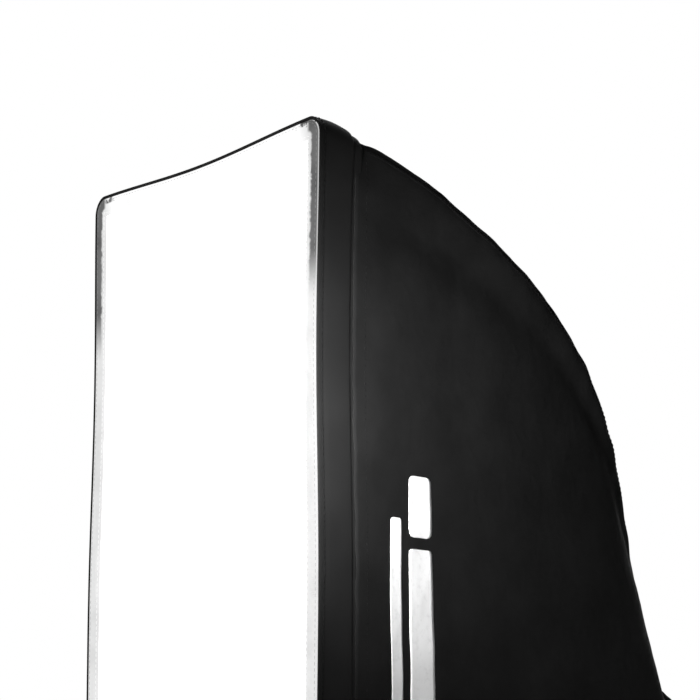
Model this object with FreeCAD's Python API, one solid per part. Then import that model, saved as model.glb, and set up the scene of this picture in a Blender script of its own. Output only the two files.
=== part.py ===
import FreeCAD, Part
import math
import os

os.makedirs("parts", exist_ok=True)

# A strip softbox: a fabric shell held open by four sprung rods that meet at a round ring,
# and an adapter that turns in the ring and clamps on the barrel of a studio light.
# Millimetres. X is across the strip, Z along it, and light leaves towards -Y.
# The origin is on the adapter's axis, at the rear face of the ring.

# ---- driving dimensions -------------------------------------------------------------------

# Front rim of the shell, and the lip behind it
RIM_HALF_WIDTH = 150.0
RIM_HALF_HEIGHT = 454.5
RIM_CORNER_R = 14.0
LONG_EDGE_BOW = 3.0
SHORT_EDGE_BOW = 4.4
LIP_DEPTH = 30.0
LIP_THICKNESS = 2.0
LIP_LEAN_ACROSS = 2.2
LIP_LEAN_ALONG = 7.6
LIP_KERF = 0.15

# Corner seam, from the lip back to the ring. Each arc is its radius and its turn in degrees.
FABRIC = 1.5
SEAM_START_DEPTH = 31.0
SEAM_START_RADIUS = 465.4
SEAM_START_SLOPE = 13.3
SEAM_ARCS = [(530.0, 24.3), (307.0, 23.6), (643.0, 17.0)]
SIDE_SEAM_GAP = 4.6
END_SEAM_GAP = 3.2
REAR_SEAM_GAP = 3.0
PANEL_STEPS = 14
SIDE_SADDLE = 12.0
END_SADDLE = 8.0
BINDING_R = 2.5
BINDING_INSET = 1.5
BINDING_START = 3.6
BINDING_SHORT_TURN = 0.7
PIPING_FRONT = 30.2
PIPING_WIDTH = 3.0
PIPING_GAP = 0.3
SHELL_REAR_Y = -8.0

# Sprung rods, in planes through the axis. Their tips stand clear of both walls of a corner.
ROD_R = 3.0
ROD_CORNER_CLEARANCE = 9.0
ROD_START_DEPTH = 42.0
ROD_START_SLOPE = 14.5
ROD_ARCS = [(528.0, 23.2), (245.0, 23.7), (490.0, 16.6)]
ROD_END_RADIUS = 73.0
TIP_R = 4.2
TIP_LENGTH = 9.0
TIP_ROUNDING = 1.5
POCKET_R = 6.0
POCKET_BORE_R = 4.6
POCKET_FRONT = 6.0
POCKET_LENGTH = 34.0
POCKET_END_GAP = 0.3

# Rod sockets on the front of the ring
SOCKET_MID_RADIUS = 88.0
SOCKET_LENGTH = 36.0
SOCKET_R = 7.0
SOCKET_BORE_R = 3.2
SOCKET_WALL = 2.0
FOOT_INNER = 69.5
FOOT_OUTER = 88.0
FOOT_HALF_WIDTH = 15.0
FOOT_THICKNESS = 3.0
FOOT_SCREW_RADIUS = 79.0
FOOT_SCREW_SIDE = 11.0
FOOT_SCREW_LENGTH = 9.0
WEB_INSET = 2.0

# Ring, and the retaining ring that holds the adapter's flange in it
RING_R = 90.0
RING_DEPTH = 14.0
RING_BORE_R = 68.0
SEAT_R = 76.0
SEAT_DEPTH = 7.0
RETAINER_INNER_R = 65.0
RETAINER_R = 88.0
RETAINER_THICKNESS = 3.0
RETAINER_SCREWS = 6
RETAINER_SCREW_RADIUS = 82.0
RETAINER_SCREW_DEPTH = 5.0
SCREW_R = 2.0
SCREW_HEAD_R = 3.4
SCREW_HEAD_HEIGHT = 2.4

# Adapter, a flange with a slit sleeve on it, and the rubber liner that grips the light's barrel
FLANGE_R = 75.7
FLANGE_FRONT_Y = -6.8
FLANGE_REAR_Y = -0.3
SLEEVE_R = 57.0
LINER_R = 53.5
BORE_R = 50.0
SLEEVE_REAR_Y = 46.0
LINER_FRONT_Y = -4.0
LINER_REAR_Y = 44.0
SLIT_WIDTH = 3.0
SLIT_ANGLES = (45, 135, 225, 315)
SLIT_FRONT_Y = 16.0
SLEEVE_BEAD_R = 58.8
SLEEVE_BEAD_Y = 43.0

# Clamp band, its cross bolt, cam lever and adjuster nut
BAND_CLEARANCE = 0.05
BAND_THICKNESS = 1.2
BAND_FRONT_Y = 26.0
BAND_WIDTH = 14.0
EAR_INNER_Z = 4.0
EAR_THICKNESS = 3.0
EAR_OUTER_X = 77.0
CLAMP_X = 68.0
CLAMP_Y = 33.0
BOLT_R = 3.0
HOLE_CLEARANCE = 0.3
WASHER_R = 7.0
WASHER_THICKNESS = 2.5
CAM_R = 8.2
CAM_OFFSET = 1.0
CAM_GAP = 0.05
PIN_R = 3.0
PIN_CLEARANCE = 0.05
PIN_STICK_OUT = 0.5
EYE_R = 5.5
EYE_HALF_WIDTH = 2.6
FLAT_LENGTH = 0.5
CHEEK_INNER = 3.0
FORK_HALF_LENGTH = 12.0
LEVER_HALF_WIDTH = 6.5
HANDLE_R = 72.5
HANDLE_THICKNESS = 5.0
HANDLE_MIDDLE_ANGLE = 55.0
HANDLE_END_ANGLE = 96.0
END_ROLL_R = 4.0
END_ROLL_OUT = 1.0
NUT_R = 8.0
NUT_HEIGHT = 11.0
NUT_GAP = 0.2
NUT_GROOVES = 18
NUT_GROOVE_R = 0.8
NUT_GROOVE_OUT = 0.3
BOLT_TAIL = 3.0

# Lock knob on the rear of the ring
KNOB_ANGLE = 225.0
KNOB_RADIUS = 72.0
KNOB_R = 9.0
KNOB_LOBES = 6
KNOB_FLUTE_R = 4.0
KNOB_FLUTE_OUT = 2.5
KNOB_NECK_R = 5.5
KNOB_NECK_HEIGHT = 2.0
KNOB_TOP_COVER = 2.0
KNOB_FRONT_Y = 5.2
KNOB_HEIGHT = 11.0
BOSS_R = 6.0
BOSS_REAR_Y = 5.0
STUD_R = 2.5
STUD_FRONT_Y = 0.2

# Rear collar of the shell
COLLAR_R = 91.0
COLLAR_GAP = 1.1
COLLAR_REAR_Y = 8.0
COLLAR_TAPER = 5.0
COLLAR_LAP = 0.5
HEM_R = 2.0

# Front diffuser, with its border tape and the hook tape that holds it in the lip
TAPE_THICKNESS = 0.8
LOOP_TAPE_INSET = 2.1
LOOP_TAPE_FRONT = 4.0
HOOK_TAPE_INSET = 3.2
HOOK_TAPE_FRONT = 2.4
TAPE_REAR = 26.0
DIFFUSER_INSET = 2.6
BORDER_WIDTH = 14.0
BORDER_THICKNESS = 1.0
DIFFUSER_THICKNESS = 1.2

# Inner baffle, hung in the shell by straps
BAFFLE_DEPTH = 190.0
BAFFLE_HALF_WIDTH = 96.0
BAFFLE_HALF_HEIGHT = 335.0
BAFFLE_CORNER_R = 26.0
BAFFLE_THICKNESS = 1.2
BAFFLE_TAPE_WIDTH = 20.0
STRAP_WIDTH = 18.0
STRAP_THICKNESS = 1.2
STRAP_OVERLAP = 14.0
CORNER_STRAP_LENGTH = 25.0
SIDE_STRAP_LENGTH = 17.0

# How far a cutting shape reaches past what it cuts
CUT_EXTRA = 1.0

# ---- derived values -----------------------------------------------------------------------

AXIS = FreeCAD.Vector(0, 1, 0)
ORIGIN = FreeCAD.Vector(0, 0, 0)
CORNER_ANGLE = math.atan2(RIM_HALF_HEIGHT, RIM_HALF_WIDTH)
CORNERS = {"top_right": (1, 1), "top_left": (-1, 1), "bottom_right": (1, -1), "bottom_left": (-1, -1)}


def arc_chain(depth, radius, slope, arcs, inset=0.0):
    """Tangent arcs that bend towards the axis, each (depth and radius of centre, bend, from, to)."""
    heading = math.radians(slope)
    depth -= inset * math.sin(heading)
    radius -= inset * math.cos(heading)
    chain = []
    for bend, turn in arcs:
        bend -= inset
        centre_depth = depth - bend * math.sin(heading)
        centre_radius = radius - bend * math.cos(heading)
        end = heading + math.radians(turn)
        chain.append((centre_depth, centre_radius, bend, heading, end))
        depth = centre_depth + bend * math.sin(end)
        radius = centre_radius + bend * math.cos(end)
        heading = end
    return chain


def arc_point(arc, heading):
    """Depth and radius of the point of an arc where the path has this heading."""
    centre_depth, centre_radius, bend, _, _ = arc
    return centre_depth + bend * math.sin(heading), centre_radius + bend * math.cos(heading)


def chain_point(chain, share):
    """Depth and radius at a share, 0 to 1, of the chain's length."""
    lengths = [bend * (end - start) for _, _, bend, start, end in chain]
    left = share * sum(lengths)
    for arc, length in zip(chain, lengths):
        if left <= length or arc is chain[-1]:
            return arc_point(arc, arc[3] + left / arc[2])
        left -= length


SEAM = arc_chain(SEAM_START_DEPTH, SEAM_START_RADIUS, SEAM_START_SLOPE, SEAM_ARCS)
FRONT_Y = SHELL_REAR_Y - chain_point(SEAM, 1.0)[0]

# The rod planes run through points a little inside the shell's corners
SEAM_LEAN = math.tan(math.radians(SEAM_START_SLOPE))
ROD_CORNER_RADIUS = SEAM_START_RADIUS - (ROD_START_DEPTH - SEAM_START_DEPTH) * SEAM_LEAN
TIP_X = ROD_CORNER_RADIUS * math.cos(CORNER_ANGLE) - ROD_CORNER_CLEARANCE
TIP_Z = ROD_CORNER_RADIUS * math.sin(CORNER_ANGLE) - ROD_CORNER_CLEARANCE
ROD_ANGLE = math.atan2(TIP_Z, TIP_X)
ROD_CHAIN = arc_chain(ROD_START_DEPTH, math.hypot(TIP_X, TIP_Z), ROD_START_SLOPE, ROD_ARCS)
ROD_END_SLOPE = ROD_CHAIN[-1][4]
PIN_Z = EAR_INNER_Z + EAR_THICKNESS + WASHER_THICKNESS + CAM_GAP + CAM_R + CAM_OFFSET


# ---- shared shapes ------------------------------------------------------------------------

def at(angle, depth, radius, side=0.0):
    """Point at an angle from +X about the axis, a depth behind the rim and a sideways offset."""
    x = radius * math.cos(angle) - side * math.sin(angle)
    z = radius * math.sin(angle) + side * math.cos(angle)
    return FreeCAD.Vector(x, FRONT_Y + depth, z)


def heading_vector(angle, slope):
    """Direction at a slope from the axis, running inwards, in the plane at this angle."""
    inwards = -math.sin(slope)
    return FreeCAD.Vector(inwards * math.cos(angle), math.cos(slope), inwards * math.sin(angle))


def ring(outer_r, inner_r, front_y, rear_y):
    """Plain ring about the axis."""
    height = rear_y - front_y
    start = FreeCAD.Vector(0, front_y, 0)
    disc = Part.makeCylinder(outer_r, height, start, AXIS)
    return disc.cut(Part.makeCylinder(inner_r, height, start, AXIS))


def box(low, high):
    """Box between two corners."""
    size = [b - a for a, b in zip(low, high)]
    return Part.makeBox(size[0], size[1], size[2], FreeCAD.Vector(*low))


def rod_along(start, direction, radius, length):
    """Round bar from a start point."""
    return Part.makeCylinder(radius, length, start, direction)


def outline(half_width, half_height, corner_r, depth):
    """Rounded rectangle across the axis, whose edges bow inwards like the rim's."""
    y = FRONT_Y + depth
    bow_x = half_width - LONG_EDGE_BOW
    bow_z = half_height - SHORT_EDGE_BOW
    straight_x = half_width - corner_r
    straight_z = half_height - corner_r
    corner_x = straight_x + corner_r * math.sqrt(0.5)
    corner_z = straight_z + corner_r * math.sqrt(0.5)
    half_turn = [
        ((half_width, -straight_z), (bow_x, 0), (half_width, straight_z)),
        ((half_width, straight_z), (corner_x, corner_z), (straight_x, half_height)),
        ((straight_x, half_height), (0, bow_z), (-straight_x, half_height)),
        ((-straight_x, half_height), (-corner_x, corner_z), (-half_width, straight_z)),
    ]
    edges = []
    for sign in (1, -1):
        for arc in half_turn:
            points = [FreeCAD.Vector(sign * x, y, sign * z) for x, z in arc]
            edges.append(Part.Arc(*points).toShape())
    return Part.Wire(edges)


def rim_outline(depth, inset):
    """The lip's outer outline at a depth, moved inwards by inset."""
    lean = depth / LIP_DEPTH
    half_width = RIM_HALF_WIDTH - LIP_LEAN_ACROSS * lean - inset
    half_height = RIM_HALF_HEIGHT - LIP_LEAN_ALONG * lean - inset
    return outline(half_width, half_height, max(RIM_CORNER_R - inset, 2.0), depth)


def rim_solid(front, rear, inset):
    """Solid slab that fills the rim between two depths."""
    return Part.makeLoft([rim_outline(front, inset), rim_outline(rear, inset)], True, True)


def rim_band(front, rear, inset, thickness):
    """Closed band that follows the inside of the rim."""
    return rim_solid(front, rear, inset).cut(rim_solid(front, rear, inset + thickness))


def sheet_solid(outer_rows, inner_rows):
    """Thin solid between two grids of points."""
    faces = []
    surfaces = []
    for rows in (outer_rows, inner_rows):
        surface = Part.BSplineSurface()
        surface.interpolate(rows)
        surfaces.append(surface)
        faces.append(surface.toShape())
    outer, inner = surfaces
    u0, u1, v0, v1 = outer.bounds()
    for border in (("u", u0), ("u", u1), ("v", v0), ("v", v1)):
        curves = [s.uIso(border[1]) if border[0] == "u" else s.vIso(border[1]) for s in (outer, inner)]
        faces.append(Part.makeRuledSurface(curves[0].toShape(), curves[1].toShape()))
    shell = Part.makeShell(faces)
    shell.sewShape()
    solid = Part.makeSolid(shell)
    if solid.Volume < 0:
        solid.reverse()
    return solid


def swept_tube(angle, chain, radius, side=0.0, straight=0.0):
    """Round tube along a chain of arcs in a plane through the axis, then straight on."""
    edges = []
    for arc in chain:
        middle = (arc[3] + arc[4]) / 2
        points = [at(angle, *arc_point(arc, heading), side) for heading in (arc[3], middle, arc[4])]
        edges.append(Part.Arc(*points).toShape())
    end = at(angle, *arc_point(chain[-1], chain[-1][4]), side)
    if straight:
        run = heading_vector(angle, chain[-1][4]).multiply(straight)
        edges.append(Part.LineSegment(end, end.add(run)).toShape())
    start = at(angle, *arc_point(chain[0], chain[0][3]), side)
    profile = Part.Wire(Part.Circle(start, heading_vector(angle, chain[0][3]), radius).toShape())
    return Part.Wire(edges).makePipeShell([profile], True, False)


def mirrored(shape, x_sign, z_sign):
    """Copy of a shape made for the +X +Z corner, in another corner."""
    copy = shape.copy()
    if x_sign < 0:
        copy = copy.mirror(ORIGIN, FreeCAD.Vector(1, 0, 0))
    if z_sign < 0:
        copy = copy.mirror(ORIGIN, FreeCAD.Vector(0, 0, 1))
    return copy


def export(shape, name):
    shape.exportStep("parts/" + name + ".step")


# ---- shell panels -------------------------------------------------------------------------

def panel_point(w, v, across_share, along_share, gap, bow, saddle):
    """Point of a wall: across is its distance from the axis, along its place along the rim.

    w runs from -1 to 1 between the two corner seams and v from 0 at the lip to 1 at the ring.
    The wall joins the bowed front edge, the two seams and a round opening at the ring,
    and its middle is drawn in a little by the pull between the seams.
    """
    rear_along = chain_point(SEAM, 1.0)[1] * along_share - REAR_SEAM_GAP
    rear_across = chain_point(SEAM, 1.0)[1] * across_share
    rear_r = math.hypot(rear_across, rear_along)
    rear_angle = math.atan2(rear_along, rear_across)
    depth, radius = chain_point(SEAM, v)
    middle = 1 - w * w
    across = radius * across_share - (1 - v) * bow * middle - saddle * 4 * v * (1 - v) * middle
    across += v * v * (rear_r * math.cos(w * rear_angle) - rear_across)
    along = w * (radius * along_share - gap * (1 - v) - REAR_SEAM_GAP * v)
    along += v * v * (rear_r * math.sin(w * rear_angle) - w * rear_along)
    return across, along, depth


def panel(across_axis, sign):
    """Wall of the shell on one side of the axis, as a thin solid."""
    if across_axis == "x":
        form = (math.cos(CORNER_ANGLE), math.sin(CORNER_ANGLE), SIDE_SEAM_GAP, LONG_EDGE_BOW, SIDE_SADDLE)
    else:
        form = (math.sin(CORNER_ANGLE), math.cos(CORNER_ANGLE), END_SEAM_GAP, SHORT_EDGE_BOW, END_SADDLE)

    def vector(w, v):
        across, along, depth = panel_point(w, v, *form)
        x, z = (sign * across, along) if across_axis == "x" else (along, sign * across)
        return FreeCAD.Vector(x, FRONT_Y + depth, z)

    nudge = 0.001
    outer_rows = []
    inner_rows = []
    for i in range(PANEL_STEPS + 1):
        v = i / PANEL_STEPS
        outer_row = []
        inner_row = []
        for j in range(PANEL_STEPS + 1):
            w = 2 * j / PANEL_STEPS - 1
            point = vector(w, v)
            along_v = vector(w, min(v + nudge, 1)).sub(vector(w, max(v - nudge, 0)))
            along_w = vector(min(w + nudge, 1), v).sub(vector(max(w - nudge, -1), v))
            normal = along_v.cross(along_w).normalize()
            outwards = FreeCAD.Vector(point.x, 0, point.z)
            if normal.dot(outwards) > 0:
                normal = normal.multiply(-1)
            outer_row.append(point)
            inner_row.append(point.add(normal.multiply(FABRIC)))
        outer_rows.append(outer_row)
        inner_rows.append(inner_row)
    return sheet_solid(outer_rows, inner_rows)


export(panel("x", 1), "side_panel_right")
export(panel("x", -1), "side_panel_left")
export(panel("z", 1), "end_panel_top")
export(panel("z", -1), "end_panel_bottom")

# ---- lip, piping and corner bindings ------------------------------------------------------

lip = rim_band(0, LIP_DEPTH, 0, LIP_THICKNESS)
wedge_z = 2 * RIM_HALF_HEIGHT
wedge_x = wedge_z / math.tan(CORNER_ANGLE)
wedge_y = FRONT_Y - CUT_EXTRA


def lip_side(apex, corner_a, corner_b):
    """Part of the lip inside a triangular wedge, given by x and z of its corners."""
    points = [FreeCAD.Vector(x, wedge_y, z) for x, z in (apex, corner_a, corner_b, apex)]
    wedge = Part.Face(Part.makePolygon(points)).extrude(AXIS * (LIP_DEPTH + 2 * CUT_EXTRA))
    return lip.common(wedge)


for name, sign in (("lip_right", 1), ("lip_left", -1)):
    reach_x = sign * wedge_x
    reach_z = wedge_z - LIP_KERF
    export(lip_side((sign * LIP_KERF, 0), (reach_x, reach_z), (reach_x, -reach_z)), name)
for name, sign in (("lip_top", 1), ("lip_bottom", -1)):
    reach_x = wedge_x - LIP_KERF
    reach_z = sign * wedge_z
    export(lip_side((0, sign * LIP_KERF), (reach_x, reach_z), (-reach_x, reach_z)), name)

loop_tape = rim_band(LOOP_TAPE_FRONT, TAPE_REAR, LOOP_TAPE_INSET, TAPE_THICKNESS)
export(loop_tape, "lip_loop_tape")

piping_outer = outline(
    RIM_HALF_WIDTH - LIP_LEAN_ACROSS + PIPING_GAP,
    RIM_HALF_HEIGHT - LIP_LEAN_ALONG + PIPING_GAP, RIM_CORNER_R, PIPING_FRONT)
piping_inner = outline(
    SEAM_START_RADIUS * math.cos(CORNER_ANGLE) + PIPING_GAP,
    SEAM_START_RADIUS * math.sin(CORNER_ANGLE) + PIPING_GAP, BINDING_R, PIPING_FRONT)
piping = Part.Face(piping_outer).cut(Part.Face(piping_inner)).extrude(AXIS * PIPING_WIDTH)
export(piping, "rim_piping")

binding_depth = SEAM_START_DEPTH + BINDING_START
binding_radius = SEAM_START_RADIUS - BINDING_START * SEAM_LEAN
binding_arcs = SEAM_ARCS[:-1] + [(SEAM_ARCS[-1][0], SEAM_ARCS[-1][1] - BINDING_SHORT_TURN)]
binding_chain = arc_chain(binding_depth, binding_radius, SEAM_START_SLOPE, binding_arcs, BINDING_INSET)
binding = swept_tube(CORNER_ANGLE, binding_chain, BINDING_R)
for name, signs in CORNERS.items():
    export(mirrored(binding, *signs), "corner_binding_" + name)

# ---- rods, their tips, pockets and sockets ------------------------------------------------

rod_arc_end = arc_point(ROD_CHAIN[-1], ROD_END_SLOPE)
rod_straight = (rod_arc_end[1] - ROD_END_RADIUS) / math.sin(ROD_END_SLOPE)
rod = swept_tube(ROD_ANGLE, ROD_CHAIN, ROD_R, straight=rod_straight)

tip_heading = heading_vector(ROD_ANGLE, math.radians(ROD_START_SLOPE))
rod_start = at(ROD_ANGLE, *arc_point(ROD_CHAIN[0], ROD_CHAIN[0][3]))
tip = rod_along(rod_start.sub(tip_heading * TIP_LENGTH), tip_heading, TIP_R, TIP_LENGTH)
front_edges = []
for edge in tip.Edges:
    if len(edge.Vertexes) == 1 and edge.CenterOfMass.y < rod_start.y - TIP_LENGTH / 2:
        front_edges.append(edge)
tip = tip.makeFillet(TIP_ROUNDING, front_edges)

pocket_start = rod_start.sub(tip_heading * (TIP_LENGTH + POCKET_FRONT))
pocket = rod_along(pocket_start, tip_heading, POCKET_R, POCKET_LENGTH)
bore_start = rod_start.sub(tip_heading * (TIP_LENGTH + POCKET_END_GAP))
pocket = pocket.cut(rod_along(bore_start, tip_heading, POCKET_BORE_R, POCKET_LENGTH))

socket_heading = heading_vector(ROD_ANGLE, ROD_END_SLOPE)
to_middle = (rod_arc_end[1] - SOCKET_MID_RADIUS) / math.sin(ROD_END_SLOPE)
socket_middle = at(ROD_ANGLE, *rod_arc_end).add(socket_heading * to_middle)
socket_start = socket_middle.sub(socket_heading * (SOCKET_LENGTH / 2))
foot_y = -RING_DEPTH - FOOT_THICKNESS
foot = box((FOOT_INNER, foot_y, -FOOT_HALF_WIDTH), (FOOT_OUTER, -RING_DEPTH, FOOT_HALF_WIDTH))
web = box(
    (FOOT_INNER + WEB_INSET, socket_middle.y, WEB_INSET - SOCKET_R),
    (FOOT_OUTER, foot_y + FOOT_THICKNESS / 2, SOCKET_R - WEB_INSET))
foot_holes = []
foot_screws = []
for side in (-FOOT_SCREW_SIDE, FOOT_SCREW_SIDE):
    screw_start = FreeCAD.Vector(FOOT_SCREW_RADIUS, foot_y, side)
    shank = rod_along(screw_start, AXIS, SCREW_R, FOOT_SCREW_LENGTH)
    head = rod_along(screw_start, AXIS * -1, SCREW_HEAD_R, SCREW_HEAD_HEIGHT)
    foot_holes.append(shank)
    foot_screws.append(head.fuse(shank).removeSplitter())


def turned(shape, angle):
    """Copy of a shape turned about the axis, from +X towards +Z."""
    copy = shape.copy()
    copy.rotate(ORIGIN, AXIS, -math.degrees(angle))
    return copy


bracket = turned(foot.fuse(web), ROD_ANGLE)
bracket = bracket.fuse(rod_along(socket_start, socket_heading, SOCKET_R, SOCKET_LENGTH))
socket_bore_start = socket_start.sub(socket_heading * CUT_EXTRA)
bore_length = SOCKET_LENGTH - SOCKET_WALL + CUT_EXTRA
bracket = bracket.cut(rod_along(socket_bore_start, socket_heading, SOCKET_BORE_R, bore_length))
socket_screw_group = []
for hole, screw in zip(foot_holes, foot_screws):
    bracket = bracket.cut(turned(hole, ROD_ANGLE))
    socket_screw_group.append(turned(screw, ROD_ANGLE))
bracket = bracket.removeSplitter()

tips = []
socket_screws = []
for name, signs in CORNERS.items():
    export(mirrored(rod, *signs), "rod_" + name)
    export(mirrored(pocket, *signs), "corner_pocket_" + name)
    export(mirrored(bracket, *signs), "rod_socket_" + name)
    tips.append(mirrored(tip, *signs))
    socket_screws += [mirrored(screw, *signs) for screw in socket_screw_group]
export(Part.makeCompound(tips), "rod_tips")
export(Part.makeCompound(socket_screws), "socket_screws")

# ---- ring and retaining ring --------------------------------------------------------------

ring_body = ring(RING_R, RING_BORE_R, -RING_DEPTH, 0)
ring_body = ring_body.cut(Part.makeCylinder(SEAT_R, SEAT_DEPTH, FreeCAD.Vector(0, -SEAT_DEPTH, 0), AXIS))
retainer = ring(RETAINER_R, RETAINER_INNER_R, 0, RETAINER_THICKNESS)
retaining_screws = []
for i in range(RETAINER_SCREWS):
    angle = math.radians(i * 360 / RETAINER_SCREWS)
    centre = FreeCAD.Vector(math.cos(angle), 0, math.sin(angle)).multiply(RETAINER_SCREW_RADIUS)
    shank_start = centre.sub(AXIS * RETAINER_SCREW_DEPTH)
    shank = rod_along(shank_start, AXIS, SCREW_R, RETAINER_SCREW_DEPTH + RETAINER_THICKNESS)
    head = rod_along(centre.add(AXIS * RETAINER_THICKNESS), AXIS, SCREW_HEAD_R, SCREW_HEAD_HEIGHT)
    ring_body = ring_body.cut(shank)
    retainer = retainer.cut(shank)
    retaining_screws.append(head.fuse(shank).removeSplitter())
for signs in CORNERS.values():
    for hole in foot_holes:
        ring_body = ring_body.cut(mirrored(turned(hole, ROD_ANGLE), *signs))

knob_angle = math.radians(KNOB_ANGLE)
knob_centre = FreeCAD.Vector(math.cos(knob_angle), 0, math.sin(knob_angle)).multiply(KNOB_RADIUS)
retainer = retainer.fuse(rod_along(knob_centre, AXIS, BOSS_R, BOSS_REAR_Y))
stud_hole = rod_along(knob_centre, AXIS, STUD_R + PIN_CLEARANCE, BOSS_REAR_Y)
retainer = retainer.cut(stud_hole)
export(ring_body, "ring_body")
export(retainer.removeSplitter(), "retaining_ring")
export(Part.makeCompound(retaining_screws), "retaining_screws")

# ---- lock knob ----------------------------------------------------------------------------

knob_start = knob_centre.add(AXIS * KNOB_FRONT_Y)
knob = rod_along(knob_start, AXIS, KNOB_R, KNOB_HEIGHT)
for i in range(KNOB_LOBES):
    angle = math.radians(i * 360 / KNOB_LOBES)
    flute_x = (KNOB_R + KNOB_FLUTE_OUT) * math.cos(angle)
    flute_z = (KNOB_R + KNOB_FLUTE_OUT) * math.sin(angle)
    flute_start = knob_start.add(FreeCAD.Vector(flute_x, 0, flute_z))
    knob = knob.cut(rod_along(flute_start, AXIS, KNOB_FLUTE_R, KNOB_HEIGHT))
knob = knob.fuse(rod_along(knob_start, AXIS, KNOB_NECK_R, KNOB_NECK_HEIGHT)).removeSplitter()
stud_length = KNOB_FRONT_Y + KNOB_HEIGHT - KNOB_TOP_COVER - STUD_FRONT_Y
stud = rod_along(knob_centre.add(AXIS * STUD_FRONT_Y), AXIS, STUD_R, stud_length)
export(knob.cut(stud), "lock_knob")
export(stud, "lock_stud")

# ---- adapter and liner --------------------------------------------------------------------

export(ring(FLANGE_R, LINER_R, FLANGE_FRONT_Y, FLANGE_REAR_Y), "adapter_flange")
sleeve = ring(SLEEVE_R, LINER_R, FLANGE_REAR_Y, SLEEVE_REAR_Y)
sleeve = sleeve.fuse(ring(SLEEVE_BEAD_R, LINER_R, SLEEVE_BEAD_Y, SLEEVE_REAR_Y))
slit = box(
    (0, SLIT_FRONT_Y, -SLIT_WIDTH / 2),
    (SLEEVE_BEAD_R + CUT_EXTRA, SLEEVE_REAR_Y + CUT_EXTRA, SLIT_WIDTH / 2))
for angle in SLIT_ANGLES:
    sleeve = sleeve.cut(turned(slit, math.radians(angle)))
export(sleeve.removeSplitter(), "adapter_sleeve")
export(ring(LINER_R, BORE_R, LINER_FRONT_Y, LINER_REAR_Y), "grip_liner")

# ---- clamp band, bolt, nut and cam lever --------------------------------------------------

band_inner = SLEEVE_R + BAND_CLEARANCE
band_rear_y = BAND_FRONT_Y + BAND_WIDTH
band = ring(band_inner + BAND_THICKNESS, band_inner, BAND_FRONT_Y, band_rear_y)
gap = box((0, BAND_FRONT_Y, -EAR_INNER_Z), (EAR_OUTER_X, band_rear_y, EAR_INNER_Z))
ears = box(
    (band_inner - CUT_EXTRA, BAND_FRONT_Y, -EAR_INNER_Z - EAR_THICKNESS),
    (EAR_OUTER_X, band_rear_y, EAR_INNER_Z + EAR_THICKNESS))
band = band.fuse(ears).cut(gap)
band = band.cut(rod_along(AXIS * BAND_FRONT_Y, AXIS, band_inner, BAND_WIDTH))
up = FreeCAD.Vector(0, 0, 1)
bolt_foot = FreeCAD.Vector(CLAMP_X, CLAMP_Y, -EAR_INNER_Z - EAR_THICKNESS - NUT_GAP - NUT_HEIGHT - BOLT_TAIL)
band = band.cut(rod_along(bolt_foot, up, BOLT_R + HOLE_CLEARANCE, PIN_Z - bolt_foot.z))
export(band.removeSplitter(), "clamp_band")

pin_centre = FreeCAD.Vector(CLAMP_X, CLAMP_Y, PIN_Z)
eye = rod_along(pin_centre.sub(AXIS * EYE_HALF_WIDTH), AXIS, EYE_R, 2 * EYE_HALF_WIDTH)
bolt = rod_along(bolt_foot, up, BOLT_R, PIN_Z - bolt_foot.z).fuse(eye)
pin_half = LEVER_HALF_WIDTH + PIN_STICK_OUT
pin = rod_along(pin_centre.sub(AXIS * pin_half), AXIS, PIN_R, 2 * pin_half)
for side in (-1, 1):
    flat_y = CLAMP_Y + side * (EYE_HALF_WIDTH + NUT_R / 2)
    bolt = bolt.cut(box(
        (CLAMP_X - NUT_R, flat_y - NUT_R / 2, PIN_Z - CAM_R - CAM_OFFSET - FLAT_LENGTH),
        (CLAMP_X + NUT_R, flat_y + NUT_R / 2, PIN_Z + CAM_R)))
bolt = bolt.cut(pin)
export(bolt.removeSplitter(), "clamp_bolt")
export(pin, "cam_pin")

washer_z = EAR_INNER_Z + EAR_THICKNESS
washer_start = FreeCAD.Vector(CLAMP_X, CLAMP_Y, washer_z)
washer = rod_along(washer_start, up, WASHER_R, WASHER_THICKNESS)
washer = washer.cut(rod_along(washer_start, up, BOLT_R + HOLE_CLEARANCE, WASHER_THICKNESS))
export(washer, "cam_washer")

nut_start = FreeCAD.Vector(CLAMP_X, CLAMP_Y, -washer_z - NUT_GAP - NUT_HEIGHT)
nut = rod_along(nut_start, up, NUT_R, NUT_HEIGHT)
for i in range(NUT_GROOVES):
    angle = 2 * math.pi * i / NUT_GROOVES
    groove = FreeCAD.Vector(math.cos(angle), math.sin(angle), 0).multiply(NUT_R + NUT_GROOVE_OUT)
    nut = nut.cut(rod_along(nut_start.add(groove), up, NUT_GROOVE_R, NUT_HEIGHT))
nut = nut.cut(rod_along(nut_start, up, BOLT_R + PIN_CLEARANCE, NUT_HEIGHT))
export(nut, "adjuster_nut")

pin_angle = math.atan2(PIN_Z, CLAMP_X)
cam_start = pin_centre.add(FreeCAD.Vector(0, -LEVER_HALF_WIDTH, -CAM_OFFSET))
cam = rod_along(cam_start, AXIS, CAM_R, 2 * LEVER_HALF_WIDTH)
handle_y = CLAMP_Y - LEVER_HALF_WIDTH
lever_width = 2 * LEVER_HALF_WIDTH
half_thickness = HANDLE_THICKNESS / 2
handle = ring(HANDLE_R + half_thickness, HANDLE_R - half_thickness, handle_y, handle_y + lever_width)
end_angle = math.radians(HANDLE_END_ANGLE)
sweep = [FreeCAD.Vector(0, handle_y, 0)]
for angle in (pin_angle, math.radians(HANDLE_MIDDLE_ANGLE), end_angle):
    sweep.append(FreeCAD.Vector(2 * RING_R * math.cos(angle), handle_y, 2 * RING_R * math.sin(angle)))
sector = Part.Face(Part.makePolygon(sweep + sweep[:1])).extrude(AXIS * lever_width)
handle = handle.common(sector)
roll_radius = HANDLE_R + END_ROLL_OUT
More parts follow.
